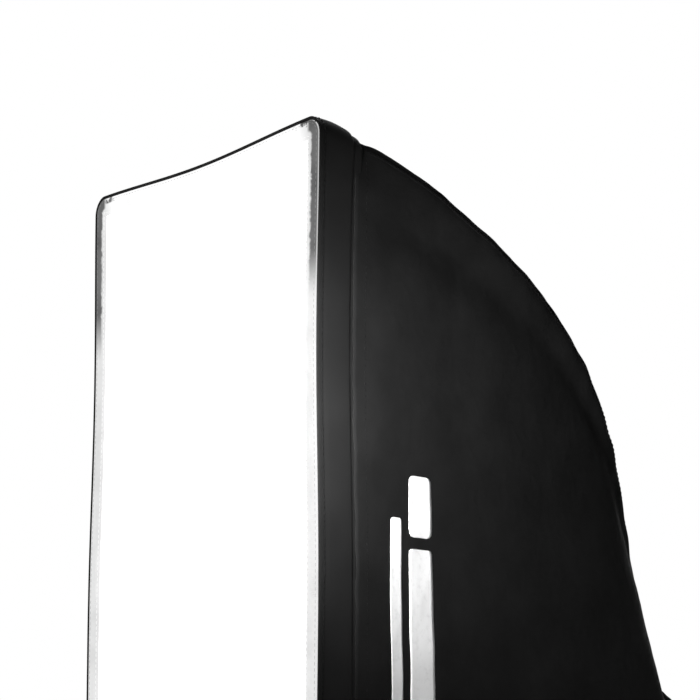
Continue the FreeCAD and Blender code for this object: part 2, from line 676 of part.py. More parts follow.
end_roll = FreeCAD.Vector(roll_radius * math.cos(end_angle), handle_y, roll_radius * math.sin(end_angle))
lever = cam.fuse(handle).fuse(rod_along(end_roll, AXIS, END_ROLL_R, lever_width))
fork = box(
    (CLAMP_X - FORK_HALF_LENGTH, CLAMP_Y - CHEEK_INNER, 0),
    (CLAMP_X + FORK_HALF_LENGTH, CLAMP_Y + CHEEK_INNER, PIN_Z + CAM_R + CUT_EXTRA))
lever = lever.cut(fork)
lever = lever.cut(rod_along(pin_centre.sub(AXIS * pin_half), AXIS, PIN_R + PIN_CLEARANCE, 2 * pin_half))
export(lever.removeSplitter(), "cam_lever")

# ---- rear collar --------------------------------------------------------------------------

rear_radius = chain_point(SEAM, 1.0)[1]
collar_front = SHELL_REAR_Y + COLLAR_GAP
profile = [
    (rear_radius + COLLAR_LAP, collar_front),
    (COLLAR_R + FABRIC, collar_front + COLLAR_TAPER),
    (COLLAR_R + FABRIC, COLLAR_REAR_Y),
    (COLLAR_R, COLLAR_REAR_Y),
    (COLLAR_R, collar_front + COLLAR_TAPER - FABRIC / 2),
    (rear_radius - FABRIC, collar_front),
]
points = [FreeCAD.Vector(r, y, 0) for r, y in profile]
collar = Part.Face(Part.makePolygon(points + points[:1])).revolve(ORIGIN, AXIS, 360)
hem = Part.makeTorus(COLLAR_R + FABRIC / 2, HEM_R, FreeCAD.Vector(0, COLLAR_REAR_Y, 0), AXIS)
hem = hem.cut(ring(COLLAR_R, RING_R - HEM_R, COLLAR_REAR_Y - HEM_R, COLLAR_REAR_Y + HEM_R))
export(collar.fuse(hem).removeSplitter(), "rear_collar")

# ---- front diffuser -----------------------------------------------------------------------

export(rim_solid(BORDER_THICKNESS, BORDER_THICKNESS + DIFFUSER_THICKNESS, DIFFUSER_INSET), "front_diffuser")
export(rim_band(0, BORDER_THICKNESS, DIFFUSER_INSET, BORDER_WIDTH), "diffuser_border")
hook_tape = rim_band(HOOK_TAPE_FRONT, TAPE_REAR, HOOK_TAPE_INSET, TAPE_THICKNESS)
export(hook_tape, "diffuser_hook_tape")

# ---- inner baffle -------------------------------------------------------------------------

def baffle_slab(inset, front, rear):
    wire = outline(BAFFLE_HALF_WIDTH - inset, BAFFLE_HALF_HEIGHT - inset, BAFFLE_CORNER_R - inset, front)
    return Part.Face(wire).extrude(AXIS * (rear - front))


baffle_rear = BAFFLE_DEPTH + BAFFLE_THICKNESS
export(baffle_slab(0, BAFFLE_DEPTH, baffle_rear), "inner_baffle")
tape_rear = baffle_rear + BORDER_THICKNESS
border = baffle_slab(0, baffle_rear, tape_rear).cut(baffle_slab(BAFFLE_TAPE_WIDTH, baffle_rear, tape_rear))
export(border, "baffle_border")

straps = []
strap_y = FRONT_Y + tape_rear
half_strap = STRAP_WIDTH / 2
corner_start = math.hypot(BAFFLE_HALF_WIDTH - STRAP_OVERLAP, BAFFLE_HALF_HEIGHT - STRAP_OVERLAP)
corner_strap = box(
    (corner_start, strap_y, -half_strap),
    (corner_start + STRAP_OVERLAP + CORNER_STRAP_LENGTH, strap_y + STRAP_THICKNESS, half_strap))
strap_angle = math.atan2(BAFFLE_HALF_HEIGHT, BAFFLE_HALF_WIDTH)
side_start = BAFFLE_HALF_WIDTH - BAFFLE_TAPE_WIDTH
side_strap = box(
    (side_start, strap_y, -half_strap),
    (BAFFLE_HALF_WIDTH + SIDE_STRAP_LENGTH, strap_y + STRAP_THICKNESS, half_strap))
for signs in CORNERS.values():
    straps.append(mirrored(turned(corner_strap, strap_angle), *signs))
for x_sign in (1, -1):
    straps.append(mirrored(side_strap, x_sign, 1))
export(Part.makeCompound(straps), "baffle_straps")
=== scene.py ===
import math

import bpy
import numpy as np
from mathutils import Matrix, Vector


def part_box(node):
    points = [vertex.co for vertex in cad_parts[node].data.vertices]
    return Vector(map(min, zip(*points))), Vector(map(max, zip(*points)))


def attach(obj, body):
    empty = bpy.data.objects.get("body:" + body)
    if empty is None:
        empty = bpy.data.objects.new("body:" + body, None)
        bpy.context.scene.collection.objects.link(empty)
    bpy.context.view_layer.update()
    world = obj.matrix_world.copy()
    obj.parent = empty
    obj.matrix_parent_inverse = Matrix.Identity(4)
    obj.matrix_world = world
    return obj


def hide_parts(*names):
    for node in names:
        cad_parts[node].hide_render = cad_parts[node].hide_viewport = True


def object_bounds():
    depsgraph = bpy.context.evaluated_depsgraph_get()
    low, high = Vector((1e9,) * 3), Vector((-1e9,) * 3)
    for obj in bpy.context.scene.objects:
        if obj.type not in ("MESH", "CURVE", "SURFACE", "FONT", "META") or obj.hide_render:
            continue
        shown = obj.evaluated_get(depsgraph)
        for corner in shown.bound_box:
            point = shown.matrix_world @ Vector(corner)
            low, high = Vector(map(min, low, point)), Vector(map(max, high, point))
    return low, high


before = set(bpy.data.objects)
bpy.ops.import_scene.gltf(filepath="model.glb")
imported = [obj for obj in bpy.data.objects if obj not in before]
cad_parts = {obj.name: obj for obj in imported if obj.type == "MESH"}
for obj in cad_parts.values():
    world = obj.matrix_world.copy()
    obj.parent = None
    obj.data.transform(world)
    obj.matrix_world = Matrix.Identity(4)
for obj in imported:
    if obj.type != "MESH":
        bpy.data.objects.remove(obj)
CAD_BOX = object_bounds()

# A strip softbox. Metres, in the frame of the CAD model: X across the strip, Z along it, light towards -Y.

# ---- sizes ----

HALF_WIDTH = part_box("lip_right")[1].x
HALF_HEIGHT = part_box("lip_top")[1].z
FRONT_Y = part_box("lip_right")[0].y
LIP_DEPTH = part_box("lip_right")[1].y - FRONT_Y
CORNER_R = 0.014
# The lip leans in towards its rear edge by this much
LEAN_ACROSS = 0.0022
LEAN_ALONG = 0.0076
# How far the rim's edges are drawn in between the corners
LONG_WAVE = 0.003
LONG_WAVE_LENGTH = 0.31
MIDDLE_WAVE = 0.0015
SHORT_SAG = 0.0044

# Corner seam: depth behind the rim against distance from the axis, as tangent arcs (radius, turn)
SEAM_START = (0.031, 0.4654)
SEAM_SLOPE = 13.3
SEAM_ARCS = [(0.530, 24.3), (0.307, 23.6), (0.643, 17.0)]
CORNER_ANGLE = math.atan2(HALF_HEIGHT, HALF_WIDTH)
ACROSS_SHARE, ALONG_SHARE = math.cos(CORNER_ANGLE), math.sin(CORNER_ANGLE)
# How far the middle of a wall is drawn in from its seams
SIDE_SADDLE = 0.012
END_SADDLE = 0.008
CLOTH = 0.0008

SIDES = {"right": (1, True), "left": (-1, True), "top": (1, False), "bottom": (-1, False)}
CORNERS = {"top_right": (1, 1), "top_left": (-1, 1), "bottom_right": (1, -1), "bottom_left": (-1, -1)}


# ---- small tools ----

def smooth_step(x, low, high):
    """0 below low, 1 above high, and a smooth ramp between."""
    t = np.clip((x - low) / (high - low), 0, 1)
    return t * t * (3 - 2 * t)


def bump_at(x, centre, width):
    """Bell curve of height 1."""
    return np.exp(-((x - centre) / width) ** 2)


def ripple(a, b, wavelength, seed, waves=7):
    """Smooth uneven field over two coordinates, about -1 to 1, with this mean wavelength."""
    draw = np.random.default_rng(seed)
    total = np.zeros(np.broadcast(a, b).shape)
    for _ in range(waves):
        angle = draw.uniform(0, math.pi)
        number = 2 * math.pi / (wavelength * draw.uniform(0.7, 1.5))
        total = total + np.sin(number * (a * math.cos(angle) + b * math.sin(angle)) + draw.uniform(0, 6.28))
    return total / waves ** 0.5


def unit(vectors):
    length = np.linalg.norm(vectors, axis=-1, keepdims=True)
    return vectors / np.maximum(length, 1e-12)


def uv_grid(along, across):
    """Texture coordinates of a grid of points, from the distances of its rows and of its columns."""
    return np.stack(np.meshgrid(along, across, indexing="ij"), axis=-1)


def distances(points):
    """Distance travelled at each point of a line."""
    return np.concatenate([[0], np.cumsum(np.linalg.norm(np.diff(points, axis=0), axis=1))])


def read_along(values, travelled, at):
    """Values given at the points of a line, read at other distances along it."""
    return np.stack([np.interp(at, travelled, values[:, k]) for k in range(3)], axis=-1)


def mesh_object(name, points, faces, materials, uv=None):
    """Mesh from points and faces, with texture coordinates per point where they are given."""
    mesh = bpy.data.meshes.new(name)
    mesh.from_pydata([tuple(p) for p in points], [], [tuple(f) for f in faces])
    if uv is not None:
        layer = mesh.uv_layers.new(name="UVMap")
        index = np.zeros(len(mesh.loops), np.int32)
        mesh.loops.foreach_get("vertex_index", index)
        layer.data.foreach_set("uv", np.asarray(uv, np.float32)[index].ravel())
    for item in materials:
        mesh.materials.append(item)
    mesh.polygons.foreach_set("use_smooth", [True] * len(mesh.polygons))
    mesh.update()
    made = bpy.data.objects.new(name, mesh)
    bpy.context.scene.collection.objects.link(made)
    return made


def grid_faces(rows, cols, close_rows=False, close_cols=False):
    """Quads between neighbouring points of a grid of rows and columns."""
    i = np.arange(rows if close_rows else rows - 1)
    j = np.arange(cols if close_cols else cols - 1)
    i, j = np.meshgrid(i, j, indexing="ij")
    i, j = i.ravel(), j.ravel()
    i2, j2 = (i + 1) % rows, (j + 1) % cols
    return np.stack([i * cols + j, i2 * cols + j, i2 * cols + j2, i * cols + j2], axis=1)


def grid_object(name, points, materials, uv=None, close_rows=False, close_cols=False, flip=False):
    """Mesh from a rows x columns x 3 array."""
    rows, cols = points.shape[:2]
    faces = grid_faces(rows, cols, close_rows, close_cols)
    if flip:
        faces = faces[:, ::-1]
    flat_uv = None if uv is None else np.asarray(uv).reshape(-1, 2)
    return mesh_object(name, points.reshape(-1, 3), faces, materials, flat_uv)


def place(piece, body, slot, *nodes):
    """Puts a piece on the body it rides on and hides the CAD nodes it stands for. The slot is not used."""
    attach(piece, body)
    if nodes:
        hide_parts(*nodes)
    return piece


def thicken(piece, thickness, lining=0):
    """Gives a sheet its thickness on the inside, with the lining's material there."""
    solid = piece.modifiers.new("thickness", "SOLIDIFY")
    solid.thickness = thickness
    solid.offset = -1
    solid.material_offset = lining
    solid.material_offset_rim = 0
    return piece


# ---- materials ----

def node(tree, kind, inputs=None, **settings):
    """Adds a shader node. An input is given a value, or linked when the value is a socket."""
    made = tree.nodes.new("ShaderNode" + kind)
    for key, value in settings.items():
        setattr(made, key, value)
    for key, value in (inputs or {}).items():
        if isinstance(value, bpy.types.NodeSocket):
            tree.links.new(value, made.inputs[key])
        else:
            made.inputs[key].default_value = value
    return made


def math_node(tree, operation, a, b=0.0):
    return node(tree, "Math", {0: a, 1: b}, operation=operation).outputs[0]


def material(name, roughness, metallic=0.0, **settings):
    """New material with its shader; returns the material, its tree and the shader node."""
    made = bpy.data.materials.new(name)
    made.use_nodes = True
    tree = made.node_tree
    shader = tree.nodes["Principled BSDF"]
    shader.inputs["Roughness"].default_value = roughness
    shader.inputs["Metallic"].default_value = metallic
    for key, value in settings.items():
        shader.inputs[key.replace("_", " ")].default_value = value
    return made, tree, shader


def map_range(tree, value, low, high, at_low, at_high, **settings):
    """Runs from at_low to at_high while the value runs from low to high."""
    return node(tree, "MapRange", {0: value, 1: low, 2: high, 3: at_low, 4: at_high}, **settings).outputs[0]


def coordinates(tree):
    """The mesh's own texture coordinates, and the place on the object."""
    coords = node(tree, "TexCoord")
    return coords.outputs["UV"], coords.outputs["Object"]


def product(tree, first, *others):
    """Product of several values."""
    for other in others:
        first = math_node(tree, "MULTIPLY", first, other)
    return first


def noise_value(tree, coordinate, scale, detail=3.0, distortion=0.0):
    """Noise between 0 and 1."""
    inputs = {"Vector": coordinate, "Scale": scale, "Detail": detail, "Distortion": distortion}
    return node(tree, "TexNoise", inputs).outputs["Fac"]


def ramp(tree, value, stops):
    """Colour ramp with (position, colour) stops; a grey level may stand for a colour."""
    made = node(tree, "ValToRGB", {"Fac": value})
    elements = made.color_ramp.elements
    while len(elements) < len(stops):
        elements.new(0.5)
    for element, (position, colour) in zip(elements, stops):
        element.position = position
        element.color = (colour,) * 3 + (1,) if isinstance(colour, float) else tuple(colour) + (1,)
    return made.outputs["Color"]


def feed(shader, name, value, stops):
    """Sets an input of the shader by a colour ramp of a value."""
    tree = shader.id_data
    tree.links.new(ramp(tree, value, stops), shader.inputs[name])


def weave_height(tree, coordinate, pitch):
    """Plain weave: threads that pass over and under each other."""
    split = node(tree, "SeparateXYZ", {0: coordinate})
    waves = []
    for axis in (0, 1):
        angle = math_node(tree, "MULTIPLY", split.outputs[axis], 2 * math.pi / pitch)
        waves.append(math_node(tree, "SINE", angle))
    return math_node(tree, "MULTIPLY", waves[0], waves[1])


def ribs_height(tree, coordinate, pitch):
    """Parallel ribs across the texture's length."""
    split = node(tree, "SeparateXYZ", {0: coordinate})
    angle = math_node(tree, "MULTIPLY", split.outputs[0], 2 * math.pi / pitch)
    return math_node(tree, "SINE", angle)


def add_bumps(shader, heights):
    """Stacks bumps of (height, distance in metres, strength) on the shader's normal."""
    tree, normal = shader.id_data, None
    for height, distance, strength in heights:
        inputs = {"Height": height, "Distance": distance, "Strength": strength}
        if normal is not None:
            inputs["Normal"] = normal
        normal = node(tree, "Bump", inputs).outputs["Normal"]
    tree.links.new(normal, shader.inputs["Normal"])


def cloth_material(name, dark, light, roughness, pitch, weave, specular, crease=0.35):
    """Woven cloth: two thread directions, slight patches of colour, and fine creases."""
    made, tree, shader = material(
        name, roughness, Sheen_Weight=0.03, Sheen_Roughness=0.45, Specular_IOR_Level=specular)
    uv, where = coordinates(tree)
    height = weave_height(tree, uv, pitch)
    patches = noise_value(tree, where, 26.0, 4.0)
    threads = math_node(tree, "MULTIPLY", height, 0.12)
    mixed = math_node(tree, "ADD", patches, threads)
    feed(shader, "Base Color", mixed, [(0.25, dark), (0.75, light)])
    creases = noise_value(tree, where, 70.0, 5.0, 0.4)
    grain = noise_value(tree, where, 900.0, 2.0)
    add_bumps(shader, [
        (creases, 0.0009, crease), (height, pitch * 0.15, weave), (grain, 0.0001, 0.25)])
    return made


def tape_material(name, dark, light, pitch, roughness=0.8, strength=0.6, specular=0.3, glow=0.0):
    """Grosgrain tape: close ribs across its length. A glow above nought gives it a painted glow."""
    made, tree, shader = material(
        name, roughness, Specular_IOR_Level=specular, Emission_Color=(1, 1, 1, 1), Emission_Strength=glow)
    uv, where = coordinates(tree)
    height = ribs_height(tree, uv, pitch)
    patches = noise_value(tree, where, 60.0, 4.0)
    mixed = math_node(tree, "ADD", patches, math_node(tree, "MULTIPLY", height, 0.15))
    feed(shader, "Base Color", mixed, [(0.2, dark), (0.8, light)])
    grain = noise_value(tree, where, 1200.0, 2.0)
    add_bumps(shader, [(height, pitch * 0.3, strength), (grain, 0.0001, 0.3)])
    return made


def silver_lining():
    """Silver coated cloth: metallic, with a crushed surface and a fine woven grid."""
    made, tree, shader = material("silver_lining", 0.34, 0.9)
    uv, where = coordinates(tree)
    tone = noise_value(tree, where, 18.0, 4.0)
    feed(shader, "Base Color", tone, [(0.2, 0.62), (0.8, 0.82)])
    rough = noise_value(tree, where, 45.0, 3.0)
    feed(shader, "Roughness", rough, [(0.2, 0.26), (0.8, 0.44)])
    crushed = noise_value(tree, where, 120.0, 5.0, 0.8)
    weave = weave_height(tree, uv, 0.0012)
    add_bumps(shader, [(crushed, 0.0008, 0.6), (weave, 0.0002, 0.3)])
    return made


def diffusion_cloth(name, glow, tone):
    """White diffusion cloth, with a painted glow standing in for the light that passes through it from
    behind.
    """
    made, tree, shader = material(
        name, 0.75, Specular_IOR_Level=0.25, Emission_Color=(1, 1, 1, 1), Emission_Strength=glow)
    uv, where = coordinates(tree)
    patches = noise_value(tree, where, 9.0, 3.0)
    feed(shader, "Base Color", patches, [
        (0.2, (tone, tone, tone * 1.005)), (0.8, (tone + 0.03,) * 3)])
    weave = weave_height(tree, uv, 0.0008)
    wrinkle = noise_value(tree, where, 22.0, 4.0, 0.5)
    add_bumps(shader, [(wrinkle, 0.0008, 0.3), (weave, 0.00015, 0.4)])
    return made


def edge_tape():
    """White border tape with a painted glow for the light behind it, and bands of painted shade."""
    made, tree, shader = material(
        "diffuser_tape", 0.85, Specular_IOR_Level=0.2, Emission_Strength=1.0)
    surface, where = coordinates(tree)
    split = node(tree, "SeparateXYZ", {0: where})
    up = math_node(tree, "ABSOLUTE", split.outputs[2])
    out = math_node(tree, "ABSOLUTE", split.outputs[0])
    across = node(tree, "SeparateXYZ", {0: surface}).outputs[1]
    ragged = noise_value(tree, where, 160.0, 6.0, 0.6)
    # Noise for the patches of painted shade and of uneven painted glow
    shade_and_glow_patches = noise_value(tree, where, 48.0, 5.0)

    # A band of painted shade along the tape's outer part, with a ragged inner edge
    wander = product(tree, math_node(tree, "SUBTRACT", ragged, 0.5), 0.006)
    inner = map_range(tree, math_node(tree, "ADD", across, wander), 0.0078, 0.0100, 1.0, 0.0)
    outer = map_range(tree, across, 0.0004, 0.0014, 0.0, 1.0)
    band = product(tree, inner, outer)

    # The painted shade is full near the ends of the long sides, and elsewhere only faint patches of it show
    high = map_range(tree, up, 0.322, 0.366, 0.0, 1.0, interpolation_type="SMOOTHSTEP")
    aside = map_range(tree, out, 0.1335, 0.1375, 0.0, 1.0, interpolation_type="SMOOTHSTEP")
    full = product(tree, band, product(tree, high, aside), map_range(tree, shade_and_glow_patches, 0.3, 0.7, 0.85, 1.0))
    faint = product(tree, band, map_range(tree, shade_and_glow_patches, 0.50, 0.75, 0.0, 0.14))
    side_shade = math_node(tree, "MAXIMUM", full, faint)

    # Ragged patches of painted shade where the band meets the short sides
    near_end = map_range(tree, up, 0.4470, 0.4482, 0.0, 1.0)
    near_side = map_range(tree, out, 0.116, 0.128, 0.0, 1.0)
    ragged_shade_patches = map_range(tree, ragged, 0.46, 0.54, 0.0, 1.0)
    grey = math_node(tree, "MAXIMUM", side_shade, product(tree, near_end, near_side, ragged_shade_patches))

    # Painted glow and base colour are both darker under the painted shade. The glow is also dimmer along the
    # long sides (painted shade) and uneven in patches.
    shaded = map_range(tree, grey, 0.0, 1.0, 1.0, 0.10)
    long_side_shade = map_range(tree, out, 0.124, 0.136, 1.05, 0.76)
    patchy_glow = map_range(tree, shade_and_glow_patches, 0.35, 0.65, 0.92, 1.08)
    feed(shader, "Base Color", grey, [(0.0, 0.03), (1.0, 0.006)])
    tree.links.new(product(tree, shaded, long_side_shade, patchy_glow), shader.inputs["Emission Color"])
    rib = ribs_height(tree, surface, 0.0014)
    add_bumps(shader, [(ragged, 0.0005, 0.4), (rib, 0.0003, 0.4)])
    return made


def hook_material(name, dark, light):
    """Hook and loop tape: a felted pile."""
    made, tree, shader = material(name, 0.95, Specular_IOR_Level=0.2, Sheen_Weight=0.4)
    _, where = coordinates(tree)
    pile = noise_value(tree, where, 900.0, 4.0, 1.0)
    feed(shader, "Base Color", pile, [(0.3, dark), (0.7, light)])
    tufts = node(tree, "TexVoronoi", {"Vector": where, "Scale": 700.0}).outputs["Distance"]
    add_bumps(shader, [(tufts, 0.0008, 0.8), (pile, 0.0004, 0.6)])
    return made


def painted_metal(name, tone, roughness):
    """Powder coat: fine orange peel, a little wear."""
    made, tree, shader = material(
        name, roughness, Specular_IOR_Level=0.5, Coat_Weight=0.08, Coat_Roughness=0.3)
    _, where = coordinates(tree)
    tone_noise = noise_value(tree, where, 80.0, 4.0)
    feed(shader, "Base Color", tone_noise, [(0.2, tone * 0.8), (0.8, tone * 1.25)])
    worn = noise_value(tree, where, 35.0, 6.0, 0.3)
    feed(shader, "Roughness", worn, [(0.3, roughness * 0.85), (0.7, min(roughness * 1.2, 1.0))])
    peel = noise_value(tree, where, 1400.0, 2.0)
    add_bumps(shader, [(peel, 0.00012, 0.35)])
    return made


def bare_metal(name, low, high, roughness, stretch):
    """Machined metal: fine lines drawn out along one direction."""
    made, tree, shader = material(name, roughness, 1.0)
    _, where = coordinates(tree)
    drawn = node(tree, "Mapping", {"Vector": where, "Scale": stretch}).outputs[0]
    lines = noise_value(tree, drawn, 600.0, 4.0)
    feed(shader, "Base Color", lines, [(0.3, low), (0.7, high)])
    feed(shader, "Roughness", lines, [(0.3, roughness * 0.8), (0.7, min(roughness * 1.25, 1.0))])
    stains = noise_value(tree, where, 40.0, 4.0)
    add_bumps(shader, [(lines, 0.00006, 0.35), (stains, 0.0001, 0.1)])
    return made


def rubber(name, tone):
    """Matte rubber with a fine grain."""
    made, tree, shader = material(name, 0.72, Specular_IOR_Level=0.35)
    _, where = coordinates(tree)
    dust = noise_value(tree, where, 55.0, 5.0)
    feed(shader, "Base Color", dust, [(0.3, tone * 0.8), (0.8, tone * 1.6)])
    grain = noise_value(tree, where, 1500.0, 3.0)
    add_bumps(shader, [(grain, 0.00012, 0.4)])
    return made


def print_ink():
    """White screen print, which lets a little of the weave show."""
    made, tree, shader = material("print_ink", 0.6, Specular_IOR_Level=0.3)
    uv, where = coordinates(tree)
    weave = weave_height(tree, uv, 0.0009)
    worn = noise_value(tree, where, 260.0, 5.0)
    mixed = math_node(tree, "ADD", worn, math_node(tree, "MULTIPLY", weave, 0.08))
    feed(shader, "Base Color", mixed, [(0.2, 0.80), (0.45, 0.93)])
    add_bumps(shader, [(weave, 0.00012, 0.4)])
    return made


SHELL = cloth_material(
    "shell_nylon", 0.0052, 0.0108, 0.85, 0.0009, weave=0.35, specular=0.09, crease=0.75)
LIP = cloth_material("lip_nylon", 0.0060, 0.0095, 0.80, 0.0010, weave=0.4, specular=0.11)
SILVER = silver_lining()
BINDING = tape_material("binding_grosgrain", 0.0045, 0.0085, 0.0011, specular=0.12, strength=0.35)
WEBBING = tape_material("webbing", 0.012, 0.022, 0.0016, strength=0.8)
THREAD = tape_material("thread", 0.004, 0.009, 0.0006, roughness=0.6, specular=0.12)
# The diffuser's threads have a painted glow for the light behind the tape. The grey outer row's painted glow
# is weaker.
WHITE_THREAD = tape_material("white_thread", 0.08, 0.12, 0.0006, roughness=0.7, glow=0.9)
GREY_THREAD = tape_material("grey_thread", 0.03, 0.06, 0.0006, roughness=0.7, glow=0.25)
LOOP = hook_material("loop_pile", 0.012, 0.028)
HOOK = hook_material("hook_pile", 0.014, 0.03)
# Painted glow: the front cloth glows strongly and the baffle faintly, for the light passing through them
FRONT_CLOTH = diffusion_cloth("front_cloth", 0.95, 0.90)
BAFFLE_CLOTH = diffusion_cloth("baffle_cloth", 0.02, 0.86)
EDGE_TAPE = edge_tape()
BAFFLE_TAPE = tape_material("baffle_tape", 0.72, 0.82, 0.0014)
PRINT = print_ink()

# ---- the shell's surface ----

def seam_dip(depth):
    """How far a seam is drawn in below its smooth arcs: behind the lip, and between its two kinks."""
    behind_lip = 0.0021 * bump_at(depth, 0.035, 0.010) + 0.0006 * bump_at(depth, 0.095, 0.012)
    between_kinks = 0.0017 * smooth_step(depth, 0.112, 0.130) * (1 - smooth_step(depth, 0.185, 0.213))
    return behind_lip + between_kinks - 0.0007 * bump_at(depth, 0.245, 0.030)


def seam_point(v):
    """Depth and distance from the axis along the corner seam, for shares v of its length."""
    v = np.asarray(v, float)
    lengths = [radius * math.radians(turn) for radius, turn in SEAM_ARCS]
    travelled = v * sum(lengths)
    depth = np.zeros_like(v)
    radius_out = np.zeros_like(v)
    start, heading = np.array(SEAM_START), math.radians(SEAM_SLOPE)
    passed = 0.0
    for (radius, turn), length in zip(SEAM_ARCS, lengths):
        centre = start - radius * np.array([math.sin(heading), math.cos(heading)])
        here = travelled >= passed - 1e-12
        angle = heading + np.clip((travelled - passed) / radius, 0, math.radians(turn))
        depth = np.where(here, centre[0] + radius * np.sin(angle), depth)
        radius_out = np.where(here, centre[1] + radius * np.cos(angle), radius_out)
        heading += math.radians(turn)
        start = centre + radius * np.array([math.sin(heading), math.cos(heading)])
        passed += length
    return depth, radius_out - seam_dip(depth)


SEAM_LENGTH = sum(radius * math.radians(turn) for radius, turn in SEAM_ARCS)
REAR_DEPTH, REAR_RADIUS = (float(x) for x in seam_point(1.0))
REAR_Y = FRONT_Y + REAR_DEPTH


def edge_inset(share, long_edge):
    """How far the rim is drawn in at a share, -1 to 1, of the way along one of its edges."""
    if not long_edge:
        return SHORT_SAG * np.cos(math.pi / 2 * share) ** 2
    from_corner = (1 - np.abs(share)) * HALF_HEIGHT
    near = LONG_WAVE * np.sin(math.pi * np.minimum(from_corner / LONG_WAVE_LENGTH, 1)) ** 2
    left = HALF_HEIGHT - LONG_WAVE_LENGTH
    middle = MIDDLE_WAVE * np.cos(math.pi / 2 * np.minimum(np.abs(share) * HALF_HEIGHT / left, 1)) ** 2
    return np.where(from_corner < LONG_WAVE_LENGTH, near, middle)


def width_share(side):
    """Half a wall's width as a share of its seams' distance from the axis."""
    return ALONG_SHARE if SIDES[side][1] else ACROSS_SHARE


def wall_base(side, w, v):
    """Smooth wall between the rim, two corner seams and the ring. w is -1 to 1 between the seams."""
    sign, upright = SIDES[side]
    across_share, along_share, saddle = ACROSS_SHARE, ALONG_SHARE, SIDE_SADDLE
    if not upright:
        across_share, along_share, saddle = along_share, across_share, END_SADDLE
    depth, radius = seam_point(v)
    rear_angle = math.atan2(along_share, across_share)
    middle = 1 - w * w
    across = radius * across_share - (1 - v) * edge_inset(w, upright) - saddle * 4 * v * (1 - v) * middle
    across = across + v * v * REAR_RADIUS * (np.cos(w * rear_angle) - across_share)
    along = w * radius * along_share + v * v * REAR_RADIUS * (np.sin(w * rear_angle) - w * along_share)
    x, z = (sign * across, along) if upright else (along, sign * across)
    return np.stack(np.broadcast_arrays(x, FRONT_Y + depth, z), axis=-1)


def wall_normal(side, w, v):
    """Outward normal of a wall."""
    step = 0.002
    along_w = wall_base(side, np.minimum(w + step, 1), v) - wall_base(side, np.maximum(w - step, -1), v)
    along_v = wall_base(side, w, np.minimum(v + step, 1)) - wall_base(side, w, np.maximum(v - step, 0))
    normal = unit(np.cross(along_w, along_v))
    sign, upright = SIDES[side]
    outwards = normal[..., 0] if upright else normal[..., 2]
    return normal * np.sign(outwards * sign)[..., None]


def from_seam(side, w, v):
    """Distance along the wall to the nearer corner seam."""
    _, radius = seam_point(v)
    return (1 - np.abs(w)) * radius * width_share(side)


def wall_relief(side, w, v):
    """How far the cloth stands out of its smooth form: rounded seams, valleys, puckers and folds."""
    upright = SIDES[side][1]
    depth, radius = seam_point(v)
    along = w * radius * width_share(side)
    seam = from_seam(side, w, v)
    seed = list(SIDES).index(side) * 20
    ends = smooth_step(v, 0, 0.06) * (1 - smooth_step(v, 0.94, 1))
    relief = 0.0020 * (seam / 0.009) * np.exp(1 - seam / 0.009) * (0.35 + 0.65 * ends)
    relief -= 0.0018 * bump_at(seam, 0.030, 0.013) * smooth_step(v, 0.1, 0.5) * ends
    lip_gap = depth - SEAM_START[0]
    pucker = ripple(along, depth * 0, 0.030, seed + 1)
    relief += 0.00035 * pucker * np.exp(-lip_gap / 0.018)
    relief -= 0.0005 * bump_at(lip_gap, 0.0108, 0.0014)
    if upright:
        lifted = 0.0020 * np.exp(-(lip_gap / 0.030) ** 2) + 0.0006 * bump_at(depth, 0.035, 0.010)
        relief += lifted * smooth_step(seam, 0.004, 0.030)
    gather = ripple(seam * 0, v * SEAM_LENGTH, 0.026, seed + 2)
    relief += 0.0004 * gather * np.exp(-seam / 0.020) * ends
    relief += 0.0010 * ripple(along, depth, 0.16, seed + 3) * ends
    relief += 0.00030 * ripple(along, depth, 0.040, seed + 4) * ends
    relief += 0.00007 * ripple(along * 0.5, depth, 0.011, seed + 5, waves=11) * ends
    if upright:
        for end, strength, shift in ((1, 0.0017, 0.0), (-1, 0.0012, 0.012)):
            line = end * (HALF_HEIGHT - 0.0675 - shift - 1.8 * (depth - 0.03) ** 2)
            fade = smooth_step(depth, 0.03, 0.06) * (1 - smooth_step(depth, 0.14, 0.24))
            relief -= strength * bump_at(along, line, 0.014) * fade
            broken = smooth_step(ripple(depth, along * 0, 0.045, seed + 6), 0.1, 0.6)
            relief -= 0.0005 * bump_at(along, line + end * 0.004, 0.0036) * fade * broken
            relief += 0.5 * strength * bump_at(along, line - end * 0.026, 0.018) * fade
    return relief


def wall_surface(side, w, v):
    """Outer face of the cloth."""
    w, v = np.broadcast_arrays(np.asarray(w, float), np.asarray(v, float))
    base = wall_base(side, w, v)
    return base + wall_normal(side, w, v) * wall_relief(side, w, v)[..., None]


def wall(side):
    """One wall of the shell, black outside and silver inside."""
    sign, upright = SIDES[side]
    across_steps = 280 if upright else 110
    depth_steps = 170
    w, v = np.meshgrid(
        np.linspace(-1, 1, across_steps + 1), np.linspace(0, 1, depth_steps + 1), indexing="ij")
    points = wall_surface(side, w, v)
    _, radius = seam_point(v)
    half = radius * width_share(side)
    uv = np.stack([w * half, v * SEAM_LENGTH], axis=-1)
    made = grid_object("shell_wall_" + side, points, [SHELL, SILVER], uv, flip=(sign > 0) == upright)
    thicken(made, CLOTH, lining=1)
    node_name = "side_panel_" + side if upright else "end_panel_" + side
    place(made, "softbox", "shell_fabric", node_name)


for side_name in SIDES:
    wall(side_name)

# ---- rim: lip, piping, tapes ----

